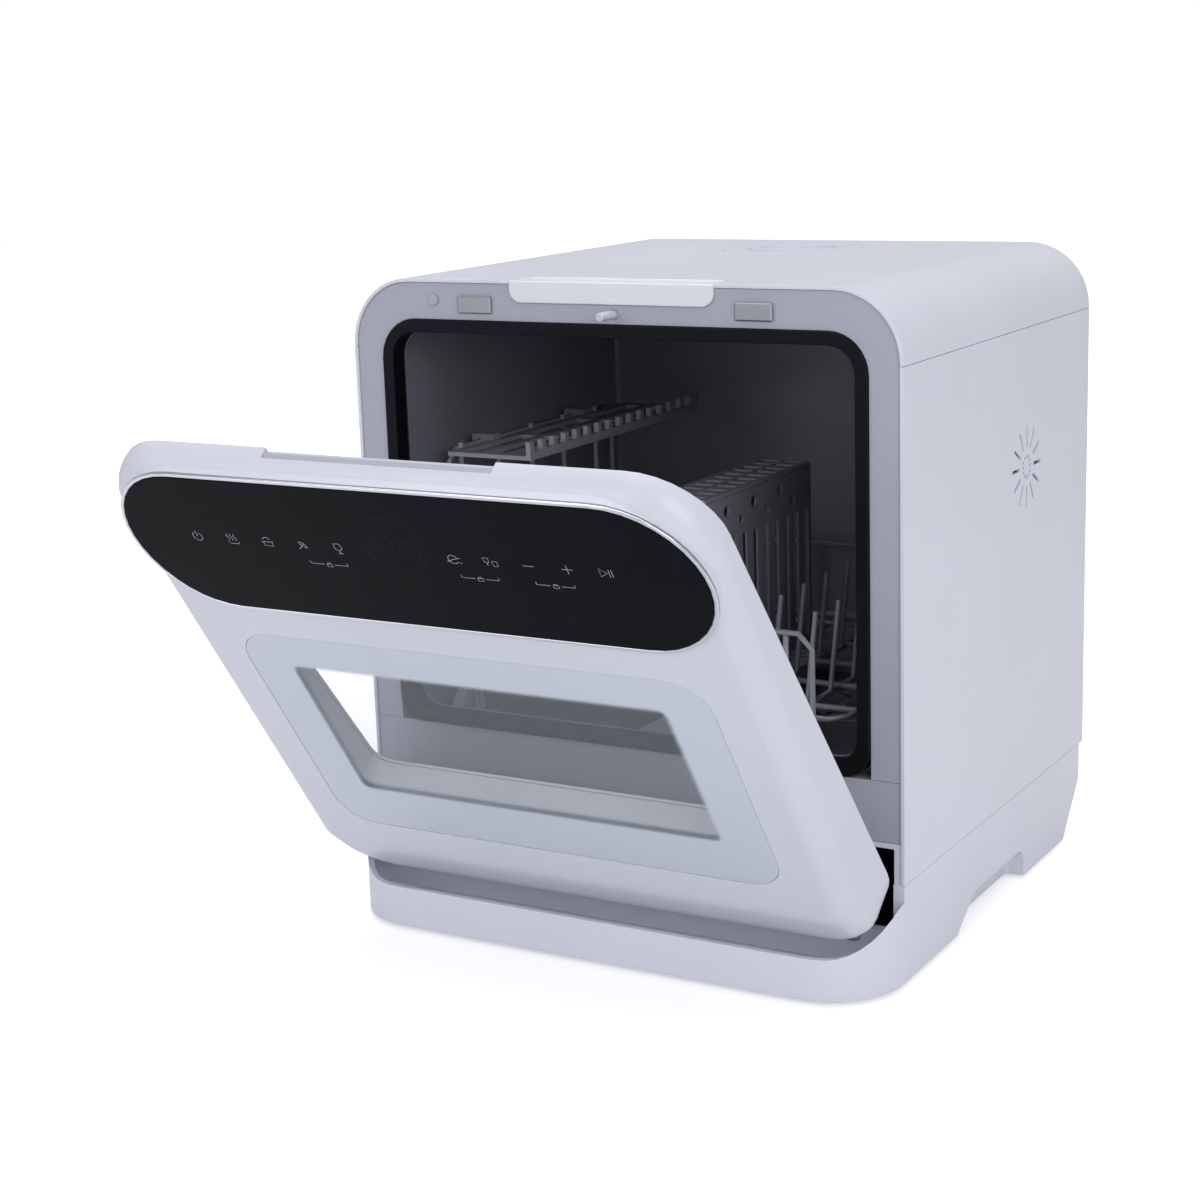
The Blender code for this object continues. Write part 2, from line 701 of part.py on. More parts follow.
def make_base():
    plan = rounded(-HALF, HALF, -CHIN_REACH, DEPTH,
                   (CHIN_CORNER, CHIN_CORNER, REAR_CORNER, REAR_CORNER), 8)
    base = slab("base_pan", [plan], "Z", FOOT_HEIGHT, LOWER_SEAM_HEIGHT)
    apron = box("apron", (-INNER_HALF, FRAME_INSET, LOWER_SEAM_HEIGHT - BASE_WALL),
                (INNER_HALF, BULKHEAD, SILL_LOW - GAP))
    join(base, apron)

    bay_half = HALF + DOOR_SIDE_GAP
    door_bay = slab("door_bay", [rounded(-bay_half, bay_half, CHIN_HEIGHT, HEIGHT,
                                         (BAY_CORNER, BAY_CORNER, 0, 0), 8)],
                    "Y", -CHIN_REACH - OVERRUN, 0.0)
    trough_half = HALF - CHIN_WALL
    trough_corner = CHIN_CORNER - CHIN_WALL
    trough = slab("trough", [rounded(-trough_half, trough_half, -CHIN_REACH + CHIN_WALL, -GAP,
                                     (trough_corner, trough_corner, 0, 0), 8)],
                  "Z", TROUGH_FLOOR, HEIGHT)
    cut(base, door_bay, trough)

    ledge_front = CHIN_WALL / 2 - CHIN_REACH
    ledge_back = CHIN_WALL - CHIN_REACH + LEDGE_WIDTH
    for name, low_x, high_x, drop in (("left_ledge", -LEDGE_HALF, RIB_X - RIB_WIDTH - LEDGE_SLOT, LEDGE_DROP),
                                      ("rib", RIB_X - RIB_WIDTH, RIB_X, RIB_DROP),
                                      ("right_ledge", RIB_X - RIB_WIDTH / 2, LEDGE_HALF, LEDGE_DROP)):
        slope = [(ledge_front, TROUGH_FLOOR - BASE_WALL), (ledge_back, TROUGH_FLOOR - BASE_WALL),
                 (ledge_back, TROUGH_FLOOR), (ledge_front, CHIN_HEIGHT - drop)]
        join(base, slab(name, [slope], "X", low_x, high_x))

    inner_back = DEPTH - BASE_WALL
    slope_start = DEPTH - UNDERCUT_LENGTH - BASE_WALL
    slope_top = FOOT_HEIGHT + UNDERCUT_HEIGHT + BASE_WALL
    low_floor = BASE_TOP_OF_FLOOR
    high_floor = FOOT_HEIGHT + HAND_NOTCH_HEIGHT + BASE_WALL
    narrow = HALF - HAND_NOTCH_DEPTH - BASE_WALL
    wide = HALF - BASE_WALL
    side = [(BULKHEAD, low_floor), (slope_start, low_floor), (inner_back, slope_top),
            (inner_back, HEIGHT), (BULKHEAD, HEIGHT)]
    bay = slab("machine_bay", [side], "X", -wide, wide)
    for name, turn in SIDES:
        low_x, high_x = span(turn * narrow, turn * (wide + OVERRUN))
        shelf = box(name + "_shelf", (low_x, -OVERRUN, -OVERRUN), (high_x, DEPTH + OVERRUN, high_floor))
        cut(bay, shelf)
    cut(base, bay)

    rise = UNDERCUT_HEIGHT / UNDERCUT_LENGTH
    wedge = [(DEPTH - UNDERCUT_LENGTH - OVERRUN, FOOT_HEIGHT - OVERRUN * rise),
             (DEPTH + OVERRUN, FOOT_HEIGHT - OVERRUN * rise),
             (DEPTH + OVERRUN, FOOT_HEIGHT + UNDERCUT_HEIGHT + OVERRUN * rise)]
    cut(base, slab("undercut", [wedge], "X", -HALF - OVERRUN, HALF + OVERRUN))

    for name, side in SIDES:
        low_x, high_x = span(side * (HALF - HAND_NOTCH_DEPTH), side * (HALF + OVERRUN))
        notch = slab(name + "_hand_notch", [notch_outline()], "X", low_x, high_x)
        low_x, high_x = span(side * BAY_INNER_X, side * BAY_OUTER_X)
        hinge_bay = box(name + "_hinge_bay", (low_x, -OVERRUN, BAY_LOW),
                        (high_x, BULKHEAD + OVERRUN, BAY_HIGH))
        cut(base, soften(notch, HAND_NOTCH_EASE, 1), hinge_bay)
    node("base_pan", base, WHITE)

    for row, foot_y in (("front", FRONT_FOOT_Y), ("rear", REAR_FOOT_Y)):
        for name, side in SIDES:
            foot_x = side * (HALF - FOOT_INSET)
            foot = rod("foot", (foot_x, foot_y, (FOOT_HEIGHT - GAP) / 2), FOOT_RADIUS,
                       FOOT_HEIGHT - GAP, "Z", 24)
            node(row + "_" + name + "_foot", foot, RUBBER)


# Side panels, top cover and back panel

VENT_SPOKES = 12


def vent_slots():
    """A sunburst of narrow slots, with a short one nearer the middle on each spoke."""
    slots = []
    for index in range(VENT_SPOKES):
        for inner, outer in ((VENT_INNER, VENT_RADIUS), (VENT_EYE_START, VENT_EYE_END)):
            slot = box("slot", (HALF - SHELL_WALL - OVERRUN, -VENT_SLOT / 2, inner),
                       (HALF + OVERRUN, VENT_SLOT / 2, outer))
            slot.data.transform(Matrix.Translation((0, VENT_Y, VENT_HEIGHT))
                                @ Matrix.Rotation(2 * pi * index / VENT_SPOKES, 4, "X"))
            slots.append(slot)
    return slots


def make_shell():
    for name, side in SIDES:
        low_x, high_x = span(side * (HALF - SHELL_WALL), side * HALF)
        panel = box(name + "_side_panel", (low_x, 0.0, LOWER_SEAM_HEIGHT + GAP),
                    (high_x, DEPTH, UPPER_SEAM - GAP))
        if side > 0:
            cut(panel, *vent_slots())
        node(name + "_side_panel", panel, WHITE)

    cover = slab("top_cover", [rounded(-HALF, HALF, UPPER_SEAM, HEIGHT,
                                       (0, 0, CORNER_RADIUS, CORNER_RADIUS), 10)],
                 "Y", 0.0, DEPTH)
    inner_radius = CORNER_RADIUS - SHELL_WALL
    hollow_half = HALF - SHELL_WALL
    hollow = slab("hollow", [rounded(-hollow_half, hollow_half, UPPER_SEAM - OVERRUN,
                                     HEIGHT - SHELL_WALL, (0, 0, inner_radius, inner_radius), 10)],
                  "Y", -OVERRUN, DEPTH + OVERRUN)
    cap_hole = rod("cap_hole", (0, CAP_Y, HEIGHT), CAP_RADIUS + GAP, OVERRUN, "Z", 48)
    node("top_cover", cut(cover, hollow, cap_hole, cup_outline("cup_notch", GAP)), WHITE)

    back_radius = inner_radius - GAP
    back = slab("back_panel", [rounded(-INNER_HALF, INNER_HALF, LOWER_SEAM_HEIGHT + GAP,
                                       HEIGHT - SHELL_WALL - GAP, (0, 0, back_radius, back_radius))],
                "Y", BACK_PLATE - SHELL_WALL, BACK_PLATE)
    spigot_hole = rod("hole", (SPIGOT_X, DEPTH, FITTING_HEIGHT), SPIGOT_RADIUS + GAP, OVERRUN * 2, "Y")
    gland_hole = rod("hole", (GLAND_X, DEPTH, FITTING_HEIGHT), GLAND_RADIUS + GAP, OVERRUN * 2, "Y")
    valve_hole = rod("hole", (VALVE_X, DEPTH, FITTING_HEIGHT), SPIGOT_RADIUS + GAP,
                     OVERRUN * 2, "Y")
    node("back_panel", cut(back, spigot_hole, gland_hole, valve_hole), PALE_PLASTIC)


# Front frame with its sill, gasket and fittings

def cup_outline(name, clearance):
    """The handle cup's solid outline, also used with a clearance for the notches round it."""
    half = CUP_HALF_WIDTH + clearance
    radius = CUP_CORNER + clearance
    top = HEIGHT + (OVERRUN if clearance else 0)
    return slab(name, [rounded(-half, half, CUP_LOW - clearance, top, (radius, radius, 0, 0), 5)],
                "Y", -CUP_PROUD - clearance, CUP_DEPTH + clearance)


def make_front():
    frame_radius = CORNER_RADIUS - SHELL_WALL - GAP
    frame_top = HEIGHT - SHELL_WALL - GAP
    frame = slab("front_frame", [rounded(-INNER_HALF, INNER_HALF, SILL_TOP + GAP, frame_top,
                                         (0, 0, frame_radius, frame_radius), 10)],
                 "Y", FRAME_INSET, FRAME_BACK)
    opening_half = HALF - SIDE_BAND
    opening_top = HEIGHT - TOP_BAND
    opening = slab("opening", [rounded(-opening_half, opening_half, SILL_TOP - OVERRUN, opening_top,
                                       (0, 0, OPENING_RADIUS, OPENING_RADIUS), 8)],
                   "Y", -OVERRUN, FRAME_BACK + OVERRUN)
    release_hole = rod("release_hole", (RELEASE_X, FRAME_BACK, RELEASE_HEIGHT), RELEASE_RADIUS + GAP,
                       FRAME_BACK * 4, "Y", 24)
    node("front_frame", cut(frame, opening, release_hole, cup_outline("cup_notch", GAP)), GREY)

    sill = box("frame_sill", (-INNER_HALF, FRAME_INSET, SILL_LOW), (INNER_HALF, FRAME_BACK, SILL_TOP))
    node("frame_sill", sill, GREY)

    outer_half = opening_half - GAP
    outer_low = SILL_TOP + GAP
    outer_top = opening_top - GAP
    outer_radius = OPENING_RADIUS - GAP
    inner_radius = outer_radius - GASKET_WIDTH
    gasket = slab("door_gasket", [
        rounded(-outer_half, outer_half, outer_low, outer_top,
                (inner_radius, inner_radius, outer_radius, outer_radius), 6),
        rounded(-outer_half + GASKET_WIDTH, outer_half - GASKET_WIDTH, outer_low + GASKET_WIDTH,
                outer_top - GASKET_WIDTH, (inner_radius,) * 4, 6),
    ], "Y", -GASKET_PROUD, FRAME_BACK)
    node("door_gasket", soften(gasket, GASKET_ROUND, 1), RUBBER)

    cup = cup_outline("handle_cup", 0.0)
    scoop_half = CUP_HALF_WIDTH - CUP_WALL
    scoop = box("scoop", (-scoop_half, -CUP_PROUD + CUP_WALL, CUP_LOW + CUP_WALL),
                (scoop_half, CUP_DEPTH - CUP_WALL, HEIGHT + CUP_CORNER * 2))
    node("handle_cup", cut(cup, soften(scoop, CUP_CORNER - CUP_WALL, 3)), WHITE)

    for name, side in SIDES:
        magnet = box("magnet", (side * MAGNET_X - MAGNET_WIDTH / 2, -MAGNET_PROUD,
                                MAGNET_HEIGHT - MAGNET_TALL / 2),
                     (side * MAGNET_X + MAGNET_WIDTH / 2, FRAME_INSET - GAP,
                      MAGNET_HEIGHT + MAGNET_TALL / 2))
        node(name + "_door_magnet", soften(magnet, MAGNET_ROUND / 2), STEEL)
    plug_middle = (FRAME_INSET - GAP) / 2
    plug = rod("plug", (-PLUG_X, plug_middle, PLUG_HEIGHT), PLUG_RADIUS, FRAME_INSET - GAP, "Y", 24)
    node("frame_plug", plug, GREY)

    slider = pivot("release_pin_slide", (RELEASE_X, -RELEASE_PROUD, RELEASE_HEIGHT), ASSEMBLY)
    pin_middle = (RELEASE_TAIL - RELEASE_PROUD) / 2
    pin = rod("pin", (RELEASE_X, pin_middle, RELEASE_HEIGHT), RELEASE_RADIUS,
              RELEASE_PROUD + RELEASE_TAIL, "Y", 20)
    node("door_release_pin", soften(pin, RELEASE_RADIUS / 4), PALE_PLASTIC, slider)


# Tub

def make_tub():
    outer_half = TUB_HALF + TUB_WALL
    front = FRAME_BACK + GAP
    tub = box("tub", (-outer_half, front, TUB_FLOOR - TUB_WALL), (outer_half, TUB_BACK, TUB_TOP + TUB_WALL))
    soften(tub, TUB_ROUND, 2)
    room = box("room", (-TUB_HALF, front + TUB_WALL, TUB_FLOOR), (TUB_HALF, TUB_BACK - TUB_WALL, TUB_TOP))
    mouth_half = HALF - SIDE_BAND - GASKET_WIDTH
    mouth_top = HEIGHT - TOP_BAND - GASKET_WIDTH
    mouth = slab("mouth", [rounded(-mouth_half, mouth_half, MOUTH_LOW, mouth_top, (MOUTH_RADIUS,) * 4)],
                 "Y", -OVERRUN, front + TUB_WALL * 2)
    riser_hole = rod("riser_hole", (0, ARM_Y, TUB_FLOOR), RISER_RADIUS + GAP, OVERRUN * 2, "Z")
    sump_hole = rod("sump_hole", (FILTER_X, FILTER_Y, TUB_FLOOR), FILTER_RADIUS - OVERRUN,
                    OVERRUN * 2, "Z")
    node("tub", cut(tub, soften(room, TUB_ROUND - TUB_WALL), mouth, riser_hole, sump_hole), DARK_TUB)


# Door

def on_face(shape):
    """Lays a piece drawn flat, with its top edge at zero, on the leaning face of the shut door."""
    shape.data.transform(Matrix.Translation((0, -FACE_TOP_REACH, HEIGHT))
                         @ Matrix.Rotation(-FACE_LEAN, 4, "X"))
    return shape


def pill(inset):
    """The long round-ended outline of the control panel."""
    half = PILL_HALF_WIDTH - inset
    radius = PILL_HEIGHT / 2 - inset
    return rounded(-half, half, -PILL_DROP - PILL_HEIGHT + inset, -PILL_DROP - inset, (radius,) * 4, 9)


def window(grow):
    """The window's outline on the door's face."""
    half = WINDOW_HALF_WIDTH + grow
    return rounded(-half, half, -WINDOW_DROP - WINDOW_HEIGHT - grow, -WINDOW_DROP + grow,
                   (WINDOW_RADIUS + grow,) * 4, 6)


def clear_view():
    """The part of the window that is left clear inside its printed border."""
    top = -WINDOW_DROP - CLEAR_TOP_MARGIN
    foot = -WINDOW_DROP - WINDOW_HEIGHT + CLEAR_LOW_MARGIN
    return rounded(-CLEAR_HALF_WIDTH, CLEAR_HALF_WIDTH, foot, top, (WINDOW_RADIUS / 2,) * 4, 4)


def face_slab(name, outlines, low, high):
    """Outlines on the door's face, from depth low to depth high behind it."""
    return on_face(slab(name, outlines, "Y", low, high))


def face_reach(height):
    """How far the door's leaning face stands out in front of the cabinet at a height."""
    return FACE_TOP_REACH + (HEIGHT - height) * tan(FACE_LEAN)


def front_reach(height):
    """The same for the whole front, with the turned-back part below the crease."""
    if height >= CREASE_HEIGHT:
        return face_reach(height)
    share = (CREASE_HEIGHT - height) / (CREASE_HEIGHT - TOE_HEIGHT)
    return CREASE_REACH + (TOE_REACH - CREASE_REACH) * share


def door_outline(inward):
    """The door's front view, pulled inward, with a point on each side at the crease."""
    half = HALF - DOOR_SIDE_GAP - inward
    points = rounded(-half, half, TOE_HEIGHT + inward, HEIGHT - inward,
                     (DOOR_LOW_CORNER - inward,) * 2 + (CORNER_RADIUS - inward,) * 2, DOOR_CORNER_STEPS)
    low_points = 2 * (DOOR_CORNER_STEPS + 1)
    return points[:low_points] + [(half, CREASE_HEIGHT)] + points[low_points:] + [(-half, CREASE_HEIGHT)]


def door_block(name, inset):
    """The door's outer form, rolled off round its front, or its hollow when inset."""
    roll = DOOR_ROLL - inset

    def build(shape):
        rings = []
        for step in range(ROLL_STEPS + 1):
            angle = 0.5 * pi * step / ROLL_STEPS
            inward = inset + roll * (1 - sin(angle))
            depth = inset + roll * (1 - cos(angle))
            rings.append([shape.verts.new((across, depth - front_reach(height), height))
                          for across, height in door_outline(inward)])
        back = OVERRUN if inset else -DOOR_BACK_GAP
        rings.append([shape.verts.new((across, back, height)) for across, height in door_outline(inset)])
        for ring_points, next_points in zip(rings, rings[1:]):
            for index, point in enumerate(ring_points):
                before = index - 1
                shape.faces.new((ring_points[before], point, next_points[index], next_points[before]))
        right_crease = 2 * (DOOR_CORNER_STEPS + 1)
        front = rings[0]
        shape.faces.new(front[:right_crease + 1] + front[-1:])
        shape.faces.new(front[right_crease:])
        shape.faces.new(reversed(rings[-1]))
        bmesh.ops.recalc_face_normals(shape, faces=shape.faces)
    return mesh_object(name, build)


def make_door():
    turn = pivot("door_hinge", (0, -HINGE_REACH, HINGE_HEIGHT), ASSEMBLY)

    panel = door_block("door_outer_panel", 0.0)
    join(panel, face_slab("boss", [pill(0.0)], PILL_SINK, PILL_BOSS))
    recess_floor = PANEL_GLASS - PILL_PROUD + GAP
    boss_floor = recess_floor + PILL_FLOOR
    cut(panel, door_block("hollow", DOOR_WALL))
    join(panel, face_slab("boss_wall", [pill(PILL_WALL / 4), pill(PILL_WALL)], boss_floor / 2, PILL_BOSS),
         face_slab("boss_floor", [pill(PILL_WALL / 2)], boss_floor - PILL_FLOOR / 2, boss_floor))
    cut(panel, face_slab("recess", [pill(TRIM_WIDTH)], -OVERRUN, recess_floor))
    cut(panel, face_slab("window_hole", [window(GAP)], -OVERRUN, OVERRUN))
    toe_cut = [(-TOE_CHAMFER, TOE_HEIGHT - OVERRUN), (OVERRUN, TOE_HEIGHT - OVERRUN),
               (OVERRUN, HINGE_HEIGHT + OVERRUN / 2)]
    cut(panel, slab("chamfer", [toe_cut], "X", -HALF, HALF),
        box("strip_notch", (-STRIP_HALF_WIDTH, -STRIP_FRONT - GAP, HEIGHT - DOOR_WALL * 2),
            (STRIP_HALF_WIDTH, OVERRUN, HEIGHT + OVERRUN)))
    for name, side in SIDES:
        low_x, high_x = span(side * BAY_INNER_X, side * BAY_OUTER_X)
        cut(panel, box("arm_slot", (low_x, -HINGE_REACH - HINGE_EYE - ARM_ROOM, 0.0),
                       (high_x, OVERRUN, HINGE_HEIGHT + HINGE_EYE * 2)))
    node("door_outer_panel", panel, WHITE, turn)

    glass = face_slab("glass", [pill(TRIM_WIDTH + GAP)], -PILL_PROUD, recess_floor - GAP)
    node("control_glass", glass, BLACK_GLASS, turn)
    trim = face_slab("trim", [pill(0.0), pill(TRIM_WIDTH)], -PILL_PROUD, -GAP)
    node("panel_trim_ring", trim, CHROME, turn)
    board_front = boss_floor + GAP
    board = on_face(box("board", (-BOARD_HALF_WIDTH, board_front, -BOARD_DROP - BOARD_HEIGHT),
                        (BOARD_HALF_WIDTH, board_front + BOARD_THICKNESS, -BOARD_DROP)))
    node("touch_board", board, BOARD_GREEN, turn)

    outer_glass = face_slab("outer_glass", [window(0.0)], 0.0, WINDOW_GLASS)
    node("window_outer_glass", outer_glass, PALE_GLASS, turn)
    frame = face_slab("frame", [window(WINDOW_LEDGE), clear_view()], WINDOW_GLASS + GAP, CHIN_REACH)
    tray_plane = box("tray_plane", (-HALF, -TRAY_FRONT - GAP, 0), (HALF, CHIN_REACH, HEIGHT))
    node("window_frame", cut(frame, tray_plane), PALE_PLASTIC, turn)

    liner_half = HALF - DOOR_SIDE_GAP - DOOR_WALL - GAP
    liner_radius = CORNER_RADIUS - DOOR_WALL - GAP
    liner = slab("door_inner_liner",
                 [rounded(-liner_half, liner_half, LINER_LOW, HEIGHT - DOOR_WALL - GAP,
                          (0, 0, liner_radius, liner_radius), 8)],
                 "Y", -DOOR_BACK_GAP - LINER_THICKNESS, -DOOR_BACK_GAP)
    tray = box("tray", (-TRAY_HALF_WIDTH, -TRAY_FRONT, TRAY_LOW),
               (TRAY_HALF_WIDTH, -DOOR_BACK_GAP - LINER_THICKNESS / 2, TRAY_HIGH))
    join(liner, tray)
    pocket = box("pocket", (-TRAY_HALF_WIDTH + TRAY_WALL, -TRAY_FRONT + TRAY_WALL, TRAY_LOW + TRAY_WALL),
                 (TRAY_HALF_WIDTH - TRAY_WALL, OVERRUN, TRAY_HIGH - TRAY_WALL))
    view = face_slab("view", [clear_view()], 0.0, CHIN_REACH)
    pin_hole = rod("pin_hole", (RELEASE_X, 0, RELEASE_HEIGHT), PIN_POCKET, OVERRUN * 2, "Y", 24)
    cut(liner, soften(pocket, TRAY_WALL * 2), view, pin_hole)
    for name, side in SIDES:
        low_x, high_x = span(side * (BAY_INNER_X - GAP), side * HALF)
        cut(liner, box("arm_bay", (low_x, -OVERRUN, 0.0), (high_x, OVERRUN, ARM_BEND)))
    node("door_inner_liner", liner, PALE_PLASTIC, turn)

    inner_front = -TRAY_FRONT + TRAY_WALL + GAP
    view_top = HEIGHT - (WINDOW_DROP + CLEAR_TOP_MARGIN) * cos(FACE_LEAN)
    view_low = HEIGHT - (WINDOW_DROP + WINDOW_HEIGHT - CLEAR_LOW_MARGIN) * cos(FACE_LEAN)
    lap_half = CLEAR_HALF_WIDTH + INNER_LAP
    inner_glass = slab("window_inner_glass",
                       [rounded(-lap_half, lap_half, view_low - INNER_LAP, view_top + INNER_LAP,
                                (INNER_LAP,) * 4, 4)], "Y", inner_front, inner_front + INNER_GLASS)
    node("window_inner_glass", inner_glass, PALE_GLASS, turn)

    strip = box("strip", (-STRIP_HALF_WIDTH + GAP, -STRIP_FRONT, STRIP_LOW),
                (STRIP_HALF_WIDTH - GAP, -DOOR_BACK_GAP - LINER_THICKNESS - GAP, HEIGHT - STRIP_TOP_DROP))
    node("door_grip_strip", strip, GREY, turn)
    return turn


# Hinges: brackets in the base with riveted pins, and arms on the door that turn on them

def eye_outline(radius, tail):
    """A round eye about the pin, drawn in the side view, with straight sides to its tail."""
    points = []
    for step in range(13):
        angle = pi / 2 + pi * step / 12
        points.append((-HINGE_REACH + radius * cos(angle), HINGE_HEIGHT + radius * sin(angle)))
    return points + tail


def make_hinges(turn):
    clearance = HINGE_PIN + GAP
    for name, side in SIDES:
        inner = BAY_INNER_X + BRACKET_THICKNESS
        low_x, high_x = span(side * inner, side * (inner + BRACKET_THICKNESS))
        tail = [(BULKHEAD + GAP + BRACKET_THICKNESS, HINGE_HEIGHT - HINGE_EYE),
                (BULKHEAD + GAP + BRACKET_THICKNESS, HINGE_HEIGHT + HINGE_EYE * 3),
                (0.0, HINGE_HEIGHT + HINGE_EYE * 3), (-HINGE_REACH / 2, HINGE_HEIGHT + HINGE_EYE)]
        bracket = slab("bracket", [eye_outline(HINGE_EYE, tail)], "X", low_x, high_x)
        foot_low, foot_high = span(side * (BAY_INNER_X - BRACKET_FOOT), side * (inner + BRACKET_THICKNESS))
        foot = box("bracket_foot", (foot_low, BULKHEAD + GAP, HINGE_HEIGHT - HINGE_EYE),
                   (foot_high, BULKHEAD + GAP + BRACKET_THICKNESS, HINGE_HEIGHT + HINGE_EYE * 3))
        arm_start = inner + BRACKET_THICKNESS + GAP
        arm_end = arm_start + BRACKET_THICKNESS
        shank_end = arm_end + GAP
        shank = rod("pin", (side * (inner + shank_end) / 2, -HINGE_REACH, HINGE_HEIGHT), HINGE_PIN,
                    shank_end - inner + PIN_HEAD_THICKNESS, "X", 20)
        heads = [rod("head", (side * place, -HINGE_REACH, HINGE_HEIGHT), PIN_HEAD, PIN_HEAD_THICKNESS,
                     "X", 20) for place in (inner, shank_end + PIN_HEAD_THICKNESS / 2)]
        node(name + "_hinge_bracket", join(bracket, foot, shank, *heads), STEEL)

        low_x, high_x = span(side * arm_start, side * arm_end)
        back = -DOOR_BACK_GAP - LINER_THICKNESS - GAP
        outline = []
        for step in range(13):
            angle = pi + pi * step / 12
            outline.append((-HINGE_REACH + HINGE_EYE * cos(angle), HINGE_HEIGHT + HINGE_EYE * sin(angle)))
        outline += [(-HINGE_REACH + HINGE_EYE, ARM_BEND), (back, ARM_BEND + HINGE_EYE), (back, ARM_TOP),
                    (-HINGE_REACH - HINGE_EYE, ARM_TOP)]
        arm = slab("arm", [outline], "X", low_x, high_x)
        arm_hole = rod("hole", (side * arm_start, -HINGE_REACH, HINGE_HEIGHT), clearance, OVERRUN * 2,
                       "X", 24)
        node(name + "_hinge_arm", cut(arm, arm_hole), STEEL, turn)


# Rack of welded wires, its wheels, the cup shelf and the cutlery basket

FLOOR_LONG_SHARES = (0.12, 0.28, 0.42, 0.60, 0.72, 0.86)
FLOOR_CROSS_SHARES = (0.10, 0.30, 0.50, 0.70, 0.90)
POST_SHARES = (0.14, 0.32, 0.50, 0.68, 0.86)
FENCE_POST_SHARES = (0.12, 0.30, 0.47, 0.64, 0.82)
TINE_ROW_SHARES = (0.72, 0.86)
LEFT_TINE_ROW_SHARES = (0.12, 0.28)
TINE_SHARES = (0.12, 0.26, 0.40, 0.54, 0.68, 0.82)


def along(low, high, share):
    return low + (high - low) * share


def bent_corner(before, corner, after):
    """Two points that take the sharpness off a wire's corner."""
    before, corner, after = Vector(before), Vector(corner), Vector(after)
    return [tuple(corner + (before - corner).normalized() * WIRE_BEND),
            tuple(corner + (after - corner).normalized() * WIRE_BEND)]


def bent(path):
    """A path whose inner corners are taken off."""
    points = [path[0]]
    for before, corner, after in zip(path, path[1:], path[2:]):
        points += bent_corner(before, corner, after)
    return points + [path[-1]]


def end_frame(inner_y, outer_y, half):
    """The raised wires across one end of the rack: a bent rail with posts under it."""
    sunk = WIRE * SUNK_SHARE
    rail_y = outer_y + (sunk if outer_y > inner_y else -sunk)
    post_y = outer_y + (inner_y - outer_y) * WIRE / 2 / abs(inner_y - outer_y)
    rail = [(-half, rail_y, RACK_FLOOR), (-half, rail_y, RACK_RAIL), (half, rail_y, RACK_RAIL),
            (half, rail_y, RACK_FLOOR)]
    wires = [wire("end_rail", bent(rail))]
    for share in POST_SHARES:
        across = along(-RACK_HALF_WIDTH, RACK_HALF_WIDTH, share)
        wires.append(wire("end_post", [(across, post_y, RACK_FLOOR - sunk),
                                       (across, post_y, RACK_RAIL + sunk)]))
    return wires


def side_frame(side, top, post_shares, poke):
    """One side of the rack: a closed frame with posts, and the two axles that its wheels turn on."""
    sunk = WIRE * SUNK_SHARE
    post_x = side * RACK_HALF_WIDTH
    frame_x = side * (RACK_HALF_WIDTH + WIRE_LAP)
    front, back = RACK_FRONT + WIRE_BEND * 2, RACK_BACK - WIRE_BEND * 2
    loop = [(frame_x, front, RACK_FLOOR), (frame_x, back, RACK_FLOOR), (frame_x, back, top),
            (frame_x, front, top)]
    corners = []
    for index, corner in enumerate(loop):
        corners += bent_corner(loop[index - 1], corner, loop[(index + 1) % len(loop)])
    wires = [wire("side_frame", corners, closed=True)]
    for share in post_shares:
        place = along(RACK_FRONT, RACK_BACK, share)
        wires.append(wire("side_post", [(post_x, place, RACK_FLOOR - sunk), (post_x, place, top + poke)]))
    axle_height = TUB_FLOOR + GAP + WHEEL_RADIUS
    axle_end = side * (RACK_HALF_WIDTH + WHEEL_OFFSET + WHEEL_WIDTH + WIRE)
    for axle_y in (WHEEL_FRONT_Y, WHEEL_REAR_Y):
        wires.append(wire("hanger", [(post_x, axle_y, RACK_FLOOR + sunk),
                                     (post_x, axle_y, axle_height - sunk)]))
        wires.append(wire("axle", [(post_x - side * sunk, axle_y, axle_height),
                                   (axle_end, axle_y, axle_height)]))
    return wires


